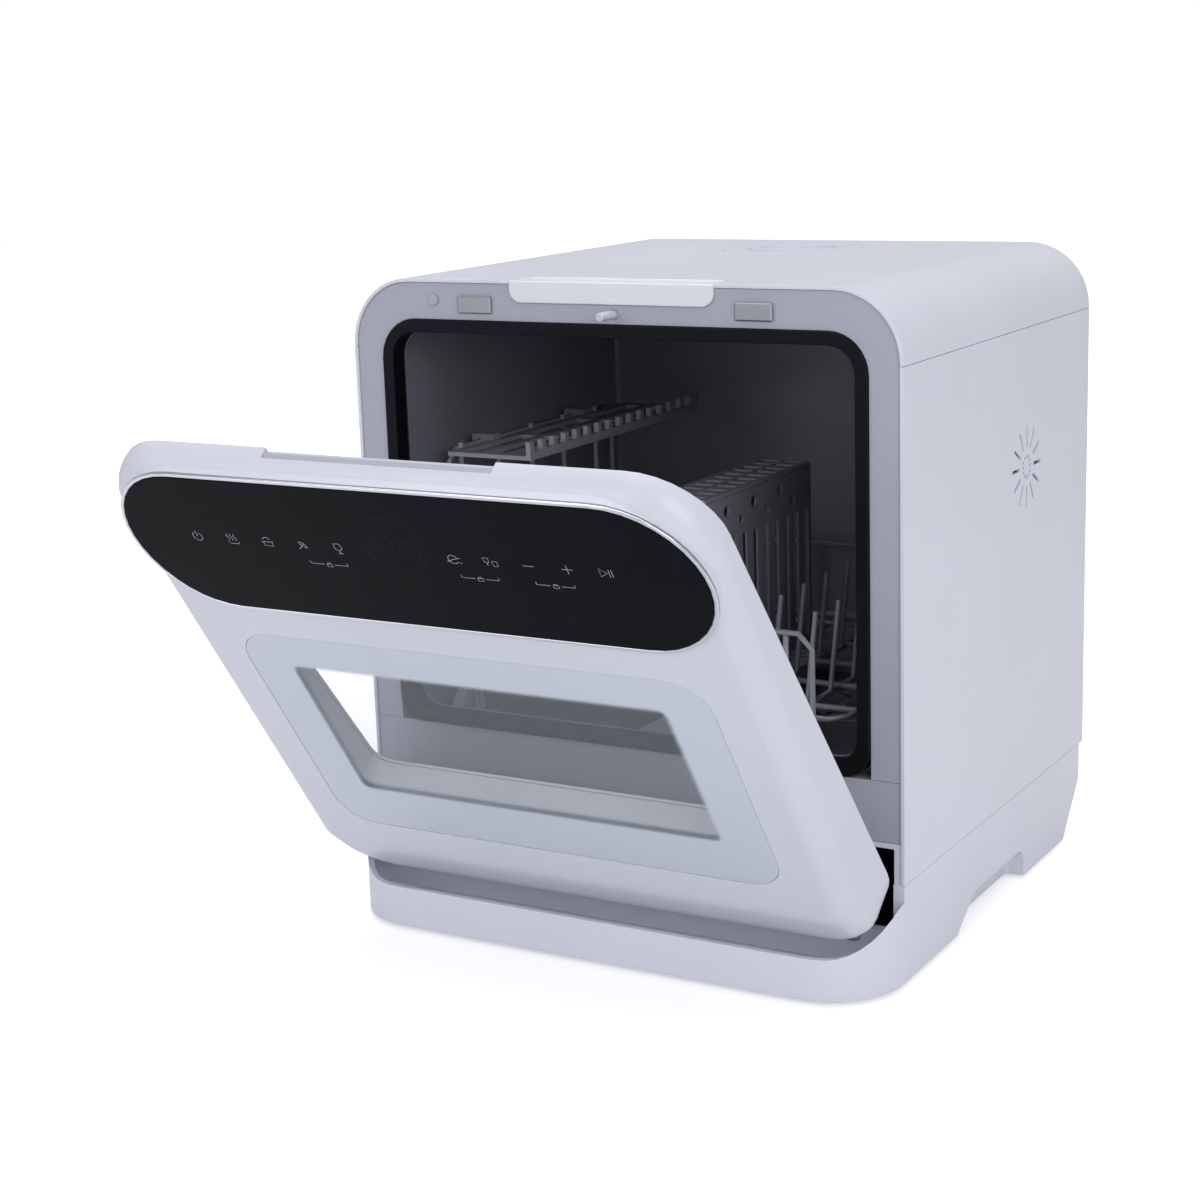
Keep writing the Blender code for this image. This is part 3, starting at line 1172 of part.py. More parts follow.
def make_rack():
    slide = pivot("rack_slide", (0, RACK_FRONT, RACK_FLOOR), ASSEMBLY)
    sunk = WIRE * SUNK_SHARE
    low_wire = RACK_FLOOR - WIRE_LAP
    loop_half = RACK_HALF_WIDTH - WIRE * 2 - GAP
    loop = [(-loop_half, RACK_FRONT, RACK_FLOOR), (loop_half, RACK_FRONT, RACK_FLOOR),
            (loop_half, RACK_BACK, RACK_FLOOR), (-loop_half, RACK_BACK, RACK_FLOOR)]
    corners = []
    for index, corner in enumerate(loop):
        corners += bent_corner(loop[index - 1], corner, loop[(index + 1) % len(loop)])
    wires = [wire("floor_loop", corners, closed=True)]
    end_half = loop_half - WIRE_BEND * 2
    wires += end_frame(RACK_BACK, RACK_FRONT, end_half) + end_frame(RACK_FRONT, RACK_BACK, end_half)
    for share in FLOOR_LONG_SHARES:
        across = along(-RACK_HALF_WIDTH, RACK_HALF_WIDTH, share)
        wires.append(wire("long_wire", [(across, RACK_FRONT - sunk, low_wire),
                                        (across, RACK_BACK + sunk, low_wire)]))
    for share in FLOOR_CROSS_SHARES:
        place = along(RACK_FRONT, RACK_BACK, share)
        wires.append(wire("cross_wire", [(-loop_half - sunk, place, RACK_FLOOR),
                                         (loop_half + sunk, place, RACK_FLOOR)]))
    for row in TINE_ROW_SHARES + LEFT_TINE_ROW_SHARES:
        across = along(-RACK_HALF_WIDTH, RACK_HALF_WIDTH, row)
        for share in TINE_SHARES:
            place = along(RACK_FRONT, RACK_BACK, share)
            wires.append(wire("tine", [(across, place, low_wire - WIRE / 2),
                                       (across, place + TINE_SLANT, RACK_FLOOR + TINE_HEIGHT)]))
    node("dish_rack", join_all(wires), COATED_WIRE, slide)
    fence = join_all(side_frame(-1, FENCE_RAIL, FENCE_POST_SHARES, POST_POKE))
    node("rack_left_fence", fence, COATED_WIRE, slide)
    node("rack_right_rail", join_all(side_frame(1, RACK_RAIL, POST_SHARES, sunk)), COATED_WIRE, slide)

    axle_height = TUB_FLOOR + GAP + WHEEL_RADIUS
    for row, axle_y in (("front", WHEEL_FRONT_Y), ("rear", WHEEL_REAR_Y)):
        for name, side in SIDES:
            centre = (side * (RACK_HALF_WIDTH + WHEEL_OFFSET + WHEEL_WIDTH / 2), axle_y, axle_height)
            spin = pivot(row + "_" + name + "_wheel_spin", centre, slide)
            wheel = soften(rod("wheel", centre, WHEEL_RADIUS, WHEEL_WIDTH, "X", 24), WIRE / 2, 1)
            bore = rod("bore", centre, WIRE + GAP, WHEEL_WIDTH * 2, "X", 12)
            dish_x = centre[0] + side * (WHEEL_WIDTH - WHEEL_DISH)
            dish = rod("dish", (dish_x, axle_y, axle_height), WHEEL_RADIUS - WHEEL_TYRE, WHEEL_WIDTH,
                       "X", 24)
            node(row + "_" + name + "_rack_wheel", cut(wheel, dish, bore), PALE_PLASTIC, spin)
    return slide


HOOK_SHARES = (0.21, 0.73)
SHELF_SLOT_SHARES = (0.12, 0.42, 0.72)
SHELF_SLOT_WIDTH_SHARE = 0.20
SHELF_RIB_SHARES = (0.02, 0.35, 0.68, 0.98)


def make_shelf(slide):
    axis_x = -RACK_HALF_WIDTH - WIRE_LAP
    fold = pivot("cup_shelf_fold", (axis_x, SHELF_FRONT, FENCE_RAIL), slide)
    plate_left = axis_x + SHELF_START
    plate_right = axis_x + SHELF_REACH
    plate_top = FENCE_RAIL + SHELF_THICKNESS / 2
    shelf = box("shelf", (plate_left, SHELF_FRONT, plate_top - SHELF_THICKNESS),
                (plate_right, SHELF_BACK, plate_top))
    slots = []
    for share in SHELF_SLOT_SHARES:
        slot_left = along(plate_left, plate_right, share)
        slot_right = slot_left + (plate_right - plate_left) * SHELF_SLOT_WIDTH_SHARE
        for near, far in zip(SHELF_RIB_SHARES, SHELF_RIB_SHARES[1:]):
            slots.append(box("slot", (slot_left, along(SHELF_FRONT, SHELF_BACK, near) + COMB_WIDTH,
                                      plate_top - OVERRUN),
                             (slot_right, along(SHELF_FRONT, SHELF_BACK, far) - COMB_WIDTH,
                              plate_top + OVERRUN)))
    cut(shelf, *slots)
    comb = box("comb", (plate_right - COMB_WIDTH, SHELF_FRONT, plate_top - SHELF_THICKNESS / 2),
               (plate_right, SHELF_BACK, plate_top + COMB_HEIGHT))
    hooks = []
    for share in HOOK_SHARES:
        hook_y = along(SHELF_FRONT, SHELF_BACK, share)
        hooks.append(box("hook", (axis_x - HOOK_HALF, hook_y, FENCE_RAIL - HOOK_HALF),
                         (plate_left + COMB_WIDTH, hook_y + HOOK_WIDTH, FENCE_RAIL + HOOK_HALF)))
    join(shelf, comb, *hooks)
    gaps = []
    tooth_y = SHELF_FRONT + COMB_TOOTH
    while tooth_y + COMB_PITCH - COMB_TOOTH < SHELF_BACK:
        gaps.append(box("tooth_gap", (plate_right - COMB_WIDTH * 2, tooth_y, plate_top + COMB_HEIGHT / 3),
                        (plate_right + COMB_WIDTH, tooth_y + COMB_PITCH - COMB_TOOTH,
                         plate_top + COMB_HEIGHT * 2)))
        tooth_y += COMB_PITCH
    rail_bore = rod("rail_bore", (axis_x, (SHELF_FRONT + SHELF_BACK) / 2, FENCE_RAIL), WIRE + GAP,
                    SHELF_BACK, "Y", 16)
    node("cup_shelf", cut(shelf, rail_bore, *gaps), DARK_PLASTIC, fold)


BASKET_SLOT_COUNT = 10
BASKET_HOLE_COUNT = 8
LID_SLOT_COUNT = 11
END_SLOT_SHARES = (0.3, 0.7)
LID_SLOT_SHARES = ((0.10, 0.46), (0.54, 0.90))


def make_basket(slide):
    left, right = BASKET_RIGHT - BASKET_WIDTH, BASKET_RIGHT
    front, back = BASKET_FRONT, BASKET_FRONT + BASKET_LENGTH
    low = RACK_FLOOR + WIRE + GAP
    high = low + BASKET_HEIGHT
    basket = box("basket", (left, front, low), (right, back, high))
    inside = box("inside", (left + BASKET_WALL, front + BASKET_WALL, low + BASKET_WALL),
                 (right - BASKET_WALL, back - BASKET_WALL, high + OVERRUN))
    cutters = [inside]
    pitch = BASKET_LENGTH / BASKET_SLOT_COUNT
    for index in range(BASKET_SLOT_COUNT):
        middle = front + pitch * (index + 1 / 2)
        cutters.append(box("slot", (left - OVERRUN, middle - BASKET_SLOT / 2, low + BASKET_SLOT),
                           (right + OVERRUN, middle + BASKET_SLOT / 2, high - BASKET_BAND)))
    hole_pitch = BASKET_LENGTH / BASKET_HOLE_COUNT
    for index in range(BASKET_HOLE_COUNT):
        middle = front + hole_pitch * (index + 1 / 2)
        height = high - BASKET_BAND * (1 / 3 if index % 2 else 2 / 3)
        cutters.append(rod("hole", ((left + right) / 2, middle, height), BASKET_HOLE,
                           BASKET_WIDTH + OVERRUN, "X", 10))
    for share in END_SLOT_SHARES:
        middle = along(left, right, share)
        cutters.append(box("end_slot", (middle - BASKET_SLOT / 2, front - OVERRUN, low + BASKET_SLOT),
                           (middle + BASKET_SLOT / 2, back + OVERRUN, high - BASKET_BAND)))
    node("cutlery_basket", cut(basket, *cutters), DARK_PLASTIC, slide)

    lift = pivot("basket_lid_hinge", (left, front, high + GAP), slide)
    lid = box("lid", (left, front, high + GAP), (right, back, high + GAP + LID_THICKNESS))
    slots = []
    lid_pitch = BASKET_LENGTH / LID_SLOT_COUNT
    for index in range(LID_SLOT_COUNT):
        middle = front + lid_pitch * (index + 1 / 2)
        for near, far in LID_SLOT_SHARES:
            slots.append(box("slot", (along(left, right, near), middle - BASKET_SLOT / 2, high - OVERRUN),
                             (along(left, right, far), middle + BASKET_SLOT / 2, high + OVERRUN)))
    node("basket_lid", cut(lid, *slots), DARK_PLASTIC, lift)


# Spray arm on its riser, with the pump below it

JET_SHARES = (-0.9, -0.6, -0.35, 0.35, 0.6, 0.9)
ARM_END_SHARE = 0.9
DRAIN_VOLUTE_SHARES = (1.25, 0.3)
FILTER_SLOTS = 12


def make_water_path():
    spin = pivot("spray_arm_spin", (0, ARM_Y, ARM_LOW), ASSEMBLY)
    arm = slab("spray_arm", [rounded(-ARM_HALF_WIDTH, ARM_HALF_WIDTH, ARM_Y - ARM_RADIUS,
                                     ARM_Y + ARM_RADIUS, (ARM_HALF_WIDTH * ARM_END_SHARE,) * 4)],
               "Z", ARM_LOW, ARM_LOW + ARM_THICKNESS)
    soften(arm, ARM_THICKNESS / 3, 1)
    hub = rod("hub", (0, ARM_Y, ARM_LOW + ARM_HUB_HEIGHT / 2), ARM_HUB, ARM_HUB_HEIGHT, "Z", 32)
    join(arm, hub)
    bore = rod("bore", (0, ARM_Y, ARM_LOW), RISER_STUB + GAP, OVERRUN * 4, "Z", 24)
    jets = [rod("jet", (0, ARM_Y + ARM_RADIUS * share, ARM_LOW + ARM_THICKNESS), ARM_JET, ARM_THICKNESS,
                "Z", 8) for share in JET_SHARES]
    node("spray_arm", cut(arm, bore, *jets), PALE_PLASTIC, spin)
    nut_low = ARM_LOW + ARM_HUB_HEIGHT + GAP
    nut = ring("nut", (0, ARM_Y), RISER_STUB + GAP, NUT_RADIUS, nut_low, nut_low + NUT_HEIGHT, 24)
    node("spray_arm_nut", nut, PALE_PLASTIC, spin)

    pump_top = PUMP_VOLUTE_HIGH + OVERRUN
    riser = turned("riser", ((0, nut_low + NUT_HEIGHT), (RISER_STUB, nut_low + NUT_HEIGHT),
                             (RISER_STUB, ARM_LOW - GAP), (RISER_RADIUS, ARM_LOW - GAP),
                             (RISER_RADIUS, pump_top + GAP), (0, pump_top + GAP)), (0, ARM_Y, 0), 24)
    node("spray_riser", riser, PALE_PLASTIC)
    pump_low = BASE_TOP_OF_FLOOR + GAP
    pump = turned("pump", ((0, pump_top), (RISER_RADIUS, pump_top), (RISER_RADIUS, PUMP_VOLUTE_HIGH),
                           (PUMP_RADIUS, PUMP_VOLUTE_HIGH), (PUMP_RADIUS, PUMP_VOLUTE_LOW),
                           (PUMP_MOTOR, PUMP_VOLUTE_LOW), (PUMP_MOTOR, pump_low), (0, pump_low)),
                  (0, ARM_Y, 0), 28)
    node("wash_pump", pump, MOTOR)

    floor = TUB_FLOOR + GAP
    plate = ring("filter_plate", (FILTER_X, FILTER_Y), FILTER_CUP + GAP, FILTER_RADIUS, floor,
                 floor + FILTER_THICKNESS, 36)
    slots = []
    for index in range(FILTER_SLOTS):
        slot = box("slot", (FILTER_CUP + FILTER_THICKNESS, -FILTER_THICKNESS / 2, -OVERRUN),
                   (FILTER_RADIUS - FILTER_THICKNESS, FILTER_THICKNESS / 2, OVERRUN))
        slot.data.transform(Matrix.Translation((FILTER_X, FILTER_Y, floor))
                            @ Matrix.Rotation(2 * pi * index / FILTER_SLOTS, 4, "Z"))
        slots.append(slot)
    node("filter_plate", cut(plate, *slots), STEEL)
    cup_top = floor + FILTER_THICKNESS
    cup_low = cup_top - FILTER_DEPTH
    cup = turned("filter_cup", ((FILTER_CUP, cup_top), (FILTER_CUP, cup_low), (0, cup_low),
                                (0, cup_low + SUMP_WALL), (FILTER_CUP - SUMP_WALL, cup_low + SUMP_WALL),
                                (FILTER_CUP - SUMP_WALL, cup_top), (FILTER_CUP, cup_top)),
                 (FILTER_X, FILTER_Y, 0), 28)
    node("filter_cup", cup, PALE_PLASTIC)
    rim = TUB_FLOOR - TUB_WALL - GAP
    sump = turned("sump", ((FILTER_RADIUS, rim), (FILTER_RADIUS, rim - SUMP_DEPTH), (0, rim - SUMP_DEPTH),
                           (0, rim - SUMP_DEPTH + SUMP_WALL),
                           (FILTER_RADIUS - SUMP_WALL, rim - SUMP_DEPTH + SUMP_WALL),
                           (FILTER_RADIUS - SUMP_WALL, rim), (FILTER_RADIUS, rim)),
                  (FILTER_X, FILTER_Y, 0), 32)
    node("sump", sump, DARK_PLASTIC)

    wide, tall = DRAIN_VOLUTE_SHARES
    drain = rod("drain", (DRAIN_X, DRAIN_Y, pump_low + DRAIN_HEIGHT / 2), DRAIN_RADIUS, DRAIN_HEIGHT,
                "Z", 24)
    volute = rod("volute", (DRAIN_X, DRAIN_Y, pump_low + DRAIN_HEIGHT * (1 - tall / 2)), DRAIN_RADIUS * wide,
                 DRAIN_HEIGHT * tall, "Z", 24)
    node("drain_pump", join(drain, volute), MOTOR)
    heater = rod("heater", (HEATER_X, HEATER_Y, pump_low + HEATER_RADIUS), HEATER_RADIUS, HEATER_LENGTH,
                 "Y", 24)
    node("heater", soften(heater, HEATER_RADIUS / 4), STEEL)


# Tank behind the tub, its filler and the cap

def make_tank():
    tank_front = TUB_BACK + TANK_BACK_GAP
    tank_back = BACK_PLATE - SHELL_WALL - GAP
    tank = box("tank", (-TANK_HALF_WIDTH, tank_front, TANK_LOW),
               (TANK_HALF_WIDTH, tank_back, TANK_SHELF_TOP))
    shelf = box("tank_shelf", (-TANK_SHELF_HALF, TANK_SHELF_FRONT, TUB_TOP + TUB_WALL + GAP),
                (TANK_SHELF_HALF, tank_front + TANK_BACK_GAP, TANK_SHELF_TOP))
    join(tank, shelf)
    well = box("well", (TANK_WALL - TANK_HALF_WIDTH, tank_front + TANK_WALL, TANK_LOW + TANK_WALL),
               (TANK_HALF_WIDTH - TANK_WALL, tank_back - TANK_WALL, TANK_SHELF_TOP - TANK_WALL))
    shelf_well = box("shelf_well", (TANK_WALL - TANK_SHELF_HALF, TANK_SHELF_FRONT + TANK_WALL,
                                    TUB_TOP + TUB_WALL + GAP + TANK_WALL),
                     (TANK_SHELF_HALF - TANK_WALL, tank_front + TANK_WALL * 2,
                      TANK_SHELF_TOP - TANK_WALL))
    mouth = rod("tank_mouth", (0, CAP_Y, TANK_SHELF_TOP), NECK_INNER - TANK_WALL, TANK_WALL * 3, "Z", 40)
    node("water_tank", cut(tank, join(well, shelf_well, mouth)), TANK_PLASTIC)

    disc_low = HEIGHT - CAP_THICKNESS
    neck_top = disc_low - SEAL_THICKNESS - GAP * 2
    neck = ring("neck", (0, CAP_Y), NECK_INNER, NECK_OUTER, TANK_SHELF_TOP + GAP, neck_top, 40)
    node("filler_neck", neck, TANK_PLASTIC)
    lift = pivot("cap_lift", (0, CAP_Y, disc_low), ASSEMBLY)
    seal = ring("seal", (0, CAP_Y), NECK_INNER, NECK_OUTER, neck_top + GAP, disc_low - GAP, 40)
    node("cap_seal", seal, RUBBER, lift)
    twist = pivot("cap_twist", (0, CAP_Y, disc_low), lift)
    dish_floor = HEIGHT - DISH_DEPTH
    cup_radius = DISH_RADIUS + DISH_WALL
    cap = turned("cap", ((0, dish_floor), (DISH_RADIUS, dish_floor), (DISH_RADIUS, HEIGHT),
                         (CAP_RADIUS, HEIGHT), (CAP_RADIUS, disc_low), (cup_radius, disc_low),
                         (cup_radius, dish_floor - DISH_WALL), (0, dish_floor - DISH_WALL)),
                 (0, CAP_Y, 0), 40)
    grip = box("grip", (-DISH_RADIUS - DISH_WALL / 2, CAP_Y - GRIP_WIDTH / 2, dish_floor - DISH_WALL / 2),
               (DISH_RADIUS + DISH_WALL / 2, CAP_Y + GRIP_WIDTH / 2, HEIGHT - GAP))
    node("filler_cap", join(cap, grip), WHITE, twist)


# Drying fan behind the vent

BLADE_COUNT = 7


def make_fan():
    inner_x = TUB_HALF + TUB_WALL + GAP
    outer_x = HALF - SHELL_WALL - GAP
    housing = box("fan_housing", (inner_x, VENT_Y - FAN_HALF, VENT_HEIGHT - FAN_HALF),
                  (outer_x, VENT_Y + FAN_HALF, VENT_HEIGHT + FAN_HALF))
    well = rod("well", ((inner_x + outer_x) / 2 + FAN_BACK_WALL, VENT_Y, VENT_HEIGHT), FAN_BORE,
               outer_x - inner_x, "X", 32)
    node("fan_housing", cut(housing, well), DARK_PLASTIC)
    rotor_low = inner_x + FAN_BACK_WALL + GAP
    rotor_high = outer_x - FAN_BACK_WALL
    centre_x = (rotor_low + rotor_high) / 2
    spin = pivot("fan_spin", (centre_x, VENT_Y, VENT_HEIGHT), ASSEMBLY)
    rotor = rod("rotor", (centre_x, VENT_Y, VENT_HEIGHT), FAN_HUB, rotor_high - rotor_low, "X", 24)
    for index in range(BLADE_COUNT):
        blade = box("blade", (rotor_low + FAN_BACK_WALL, -BLADE_THICKNESS / 2, FAN_HUB - BLADE_THICKNESS),
                    (rotor_high - FAN_BACK_WALL, BLADE_THICKNESS / 2, FAN_TIP))
        blade.data.transform(Matrix.Translation((0, VENT_Y, VENT_HEIGHT))
                             @ Matrix.Rotation(2 * pi * index / BLADE_COUNT, 4, "X"))
        join(rotor, blade)
    node("fan_rotor", rotor, PALE_PLASTIC, spin)


# Boards, valve and the fittings on the back

BOARD_PART_SHARES = ((0.25, 0.2, 9), (0.7, 0.25, 6), (0.3, 0.7, 12), (0.75, 0.75, 5))
BOARD_PART_SIZE_SHARES = (0.125, 0.1)


def make_fittings():
    floor = BASE_TOP_OF_FLOOR + GAP
    left = POWER_BOARD_X - POWER_BOARD_WIDTH / 2
    front = POWER_BOARD_Y - POWER_BOARD_LENGTH / 2
    board = box("board", (left, front, floor),
                (left + POWER_BOARD_WIDTH, front + POWER_BOARD_LENGTH, floor + POWER_BOARD_THICKNESS))
    half_x = POWER_BOARD_WIDTH * BOARD_PART_SIZE_SHARES[0]
    half_y = POWER_BOARD_LENGTH * BOARD_PART_SIZE_SHARES[1]
    parts = []
    for share_x, share_y, tall in BOARD_PART_SHARES:
        middle_x = left + POWER_BOARD_WIDTH * share_x
        middle_y = front + POWER_BOARD_LENGTH * share_y
        parts.append(box("part", (middle_x - half_x, middle_y - half_y, floor + POWER_BOARD_THICKNESS / 2),
                         (middle_x + half_x, middle_y + half_y, floor + POWER_BOARD_THICKNESS * tall)))
    node("power_board", join(board, *parts), BOARD_GREEN)

    back_inner = BACK_PLATE - SHELL_WALL - GAP
    valve = box("valve", (VALVE_X - VALVE_WIDTH / 2, back_inner - VALVE_LENGTH,
                          FITTING_HEIGHT - VALVE_WIDTH / 2),
                (VALVE_X + VALVE_WIDTH / 2, back_inner, FITTING_HEIGHT + VALVE_WIDTH / 2))
    stem = rod("stem", (VALVE_X, BACK_PLATE, FITTING_HEIGHT), SPIGOT_RADIUS, OVERRUN + SPIGOT_PROUD, "Y", 24)
    node("inlet_valve", join(valve, stem), PALE_PLASTIC)

    for name, place, radius, proud, look in (
            ("drain_spigot", SPIGOT_X, SPIGOT_RADIUS, SPIGOT_PROUD, DARK_PLASTIC),
            ("cord_gland", GLAND_X, GLAND_RADIUS, GLAND_PROUD, RUBBER)):
        tube_start = back_inner - FLANGE_THICKNESS
        tube_end = DEPTH + proud - SHELL_WALL
        tube = rod("tube", (place, (tube_start + tube_end) / 2, FITTING_HEIGHT), radius,
                   tube_end - tube_start, "Y", 24)
        collar = rod("collar", (place, back_inner - FLANGE_THICKNESS / 2, FITTING_HEIGHT),
                     radius + FLANGE, FLANGE_THICKNESS, "Y", 24)
        bore = rod("bore", (place, DEPTH, FITTING_HEIGHT), radius / 2, DEPTH, "Y", 16)
        node(name, cut(join(tube, collar), bore), look)


def stand_centred():
    """Puts the middle of the footprint over the origin."""
    bpy.context.view_layer.update()
    reach = [(part.matrix_world @ vertex.co).y
             for part in PARTS.objects if part.type == "MESH" for vertex in part.data.vertices]
    ASSEMBLY.location.y -= (min(reach) + max(reach)) / 2
    bpy.context.view_layer.update()


make_base()
make_shell()
make_front()
make_tub()
door_hinge = make_door()
make_hinges(door_hinge)
rack_slide = make_rack()
make_shelf(rack_slide)
make_basket(rack_slide)
make_water_path()
make_tank()
make_fan()
make_fittings()
door_hinge.rotation_euler.x = DOOR_REST_ANGLE
stand_centred()
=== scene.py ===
"""Countertop dishwasher with its door part open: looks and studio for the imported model."""
import bpy
import json
from math import atan2, cos, radians, sin
from mathutils import Matrix, Vector


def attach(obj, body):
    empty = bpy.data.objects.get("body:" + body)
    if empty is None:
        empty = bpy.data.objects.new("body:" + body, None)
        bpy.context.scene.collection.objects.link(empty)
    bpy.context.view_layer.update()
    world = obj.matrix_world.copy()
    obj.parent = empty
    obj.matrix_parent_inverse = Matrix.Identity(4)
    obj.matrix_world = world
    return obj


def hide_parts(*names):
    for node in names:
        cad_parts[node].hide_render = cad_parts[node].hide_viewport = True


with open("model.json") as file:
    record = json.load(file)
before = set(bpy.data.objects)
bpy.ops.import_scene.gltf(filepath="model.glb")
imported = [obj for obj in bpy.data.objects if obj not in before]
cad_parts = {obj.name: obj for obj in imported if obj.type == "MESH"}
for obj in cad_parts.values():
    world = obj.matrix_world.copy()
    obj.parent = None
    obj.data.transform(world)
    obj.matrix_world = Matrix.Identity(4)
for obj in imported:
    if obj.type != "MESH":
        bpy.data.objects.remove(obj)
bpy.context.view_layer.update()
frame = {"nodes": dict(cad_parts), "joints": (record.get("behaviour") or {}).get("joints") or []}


# Studio: a pale floor that brightens into a white background, a large soft light at the right
# front, a stronger one overhead, a weak one at the left front, and a pale room that fills the
# shadows. The camera's place, turn and lens are fitted to the photograph's edges.

bpy.context.scene.view_settings.view_transform = "Standard"

CAMERA_PLACE = (0.7549, -1.354364, 0.5948)
CAMERA_TURN = radians(30.09)
CAMERA_DIP = radians(13.03)
CAMERA_ROLL = radians(-1.83)
forward = Vector((-sin(CAMERA_TURN) * cos(CAMERA_DIP), cos(CAMERA_TURN) * cos(CAMERA_DIP), -sin(CAMERA_DIP)))
level_right = Vector((cos(CAMERA_TURN), sin(CAMERA_TURN), 0))
level_up = level_right.cross(forward)
picture_right = cos(CAMERA_ROLL) * level_right + sin(CAMERA_ROLL) * level_up
picture_up = -sin(CAMERA_ROLL) * level_right + cos(CAMERA_ROLL) * level_up
lens = bpy.data.cameras.new("photo_camera")
lens.sensor_width = 36
lens.lens = 68.15
lens.shift_x = -0.0096
lens.shift_y = 0.0017
camera = bpy.data.objects.new("photo_camera", lens)
bpy.context.scene.collection.objects.link(camera)
picture_axes = Matrix((picture_right, picture_up, -forward)).transposed().to_4x4()
camera.matrix_world = Matrix.Translation(CAMERA_PLACE) @ picture_axes
bpy.context.scene.camera = camera

ROOM_TINT = (0.93, 0.94, 1.0, 1.0)
ROOM_STRENGTH = 0.42
WHITE = (1.0, 1.0, 1.0, 1.0)
room = bpy.data.worlds.new("pale_room")
room.use_nodes = True
room_nodes = room.node_tree.nodes
room_links = room.node_tree.links
room_fill = room_nodes["Background"]
room_fill.inputs["Color"].default_value = ROOM_TINT
room_fill.inputs["Strength"].default_value = ROOM_STRENGTH
backdrop = room_nodes.new("ShaderNodeBackground")
backdrop.inputs["Color"].default_value = WHITE
room_ray = room_nodes.new("ShaderNodeLightPath")
fill_or_backdrop = room_nodes.new("ShaderNodeMixShader")
room_links.new(room_ray.outputs["Is Camera Ray"], fill_or_backdrop.inputs["Fac"])
room_links.new(room_fill.outputs["Background"], fill_or_backdrop.inputs[1])
room_links.new(backdrop.outputs["Background"], fill_or_backdrop.inputs[2])
room_links.new(fill_or_backdrop.outputs["Shader"], room_nodes["World Output"].inputs["Surface"])
bpy.context.scene.world = room


def new_look(name):
    """A plain material, and its shader."""
    look = bpy.data.materials.new(name)
    look.use_nodes = True
    return look, look.node_tree.nodes["Principled BSDF"]


def between(tree, value, low, high, start=0.0, end=1.0):
    """Follows a value that runs from start to end with one that runs from low to high."""
    change = tree.nodes.new("ShaderNodeMapRange")
    change.inputs["From Min"].default_value = start
    change.inputs["From Max"].default_value = end
    change.inputs["To Min"].default_value = low
    change.inputs["To Max"].default_value = high
    tree.links.new(value, change.inputs["Value"])
    return change.outputs["Result"]


# The floor looks brighter to the camera the farther it lies from the machine, so that it
# has no edge against the background. It throws no light of its own.

FLOOR_SIZE = 12
FLOOR_MIDDLE = (0, 2.0, 0)
FLOOR_GREY = (0.92, 0.92, 0.93, 1.0)
FLOOR_ROUGHNESS = 0.9
GLOW_NEAR = 0.42
GLOW_FAR = 0.9
GLOW_STARTS = 0.15
GLOW_ENDS = 1.1
bpy.ops.object.select_all(action="DESELECT")
bpy.ops.mesh.primitive_plane_add(size=FLOOR_SIZE, location=FLOOR_MIDDLE)
floor = bpy.context.object
floor.name = "studio_floor"
floor_look, floor_skin = new_look("studio_floor")
floor_tree = floor_look.node_tree
floor_skin.inputs["Base Color"].default_value = FLOOR_GREY
floor_skin.inputs["Roughness"].default_value = FLOOR_ROUGHNESS
floor_skin.inputs["Emission Color"].default_value = WHITE
floor_place = floor_tree.nodes.new("ShaderNodeTexCoord")
floor_reach = floor_tree.nodes.new("ShaderNodeVectorMath")
floor_reach.operation = "DISTANCE"
floor_reach.inputs[1].default_value = [-place for place in FLOOR_MIDDLE]
floor_tree.links.new(floor_place.outputs["Object"], floor_reach.inputs[0])
floor_ray = floor_tree.nodes.new("ShaderNodeLightPath")
floor_glow = floor_tree.nodes.new("ShaderNodeMath")
floor_glow.operation = "MULTIPLY"
floor_fade = between(floor_tree, floor_reach.outputs["Value"], GLOW_NEAR, GLOW_FAR, GLOW_STARTS, GLOW_ENDS)
floor_tree.links.new(floor_fade, floor_glow.inputs[0])
floor_tree.links.new(floor_ray.outputs["Is Camera Ray"], floor_glow.inputs[1])
floor_tree.links.new(floor_glow.outputs["Value"], floor_skin.inputs["Emission Strength"])
floor.data.materials.append(floor_look)

LAMPS_AIM = Vector((0, 0, 0.2))
for name, place, size, power, colour in (
        ("key_softbox", (1.9, -1.5, 1.15), 1.5, 18, (1.0, 0.99, 1.0)),
        ("overhead_softbox", (-0.2, 0.3, 2.4), 2.4, 29, (0.97, 0.98, 1.0)),
        ("front_fill", (-1.2, -2.6, 1.2), 1.6, 15, (0.95, 0.97, 1.0))):
    lamp = bpy.data.lights.new(name, "AREA")
    lamp.shape = "SQUARE"
    lamp.size = size
    lamp.energy = power
    lamp.color = colour
    holder = bpy.data.objects.new(name, lamp)
    bpy.context.scene.collection.objects.link(holder)
    holder.location = place
    holder.rotation_euler = (LAMPS_AIM - Vector(place)).to_track_quat("-Z", "Y").to_euler()


# Moulded shell: cool white ABS from a polished tool, so the skin is nearly smooth with a
# faint orange-peel. The panels meet in narrow seams and every cut edge has a small radius.

CLOUD_SCALE = 9
CLOUD_DETAIL = 2
CLOUD_STOPS = (0.3, 0.7)
PEEL_DETAIL = 3
PEEL_STRENGTH = 0.25
POLISH_SHARES = (0.92, 1.08)


def noise(tree, place, scale, detail):
    """A cloudy value between 0 and 1."""
    cloud = tree.nodes.new("ShaderNodeTexNoise")
    cloud.inputs["Scale"].default_value = scale
    cloud.inputs["Detail"].default_value = detail
    tree.links.new(place, cloud.inputs["Vector"])
    return cloud.outputs["Fac"]


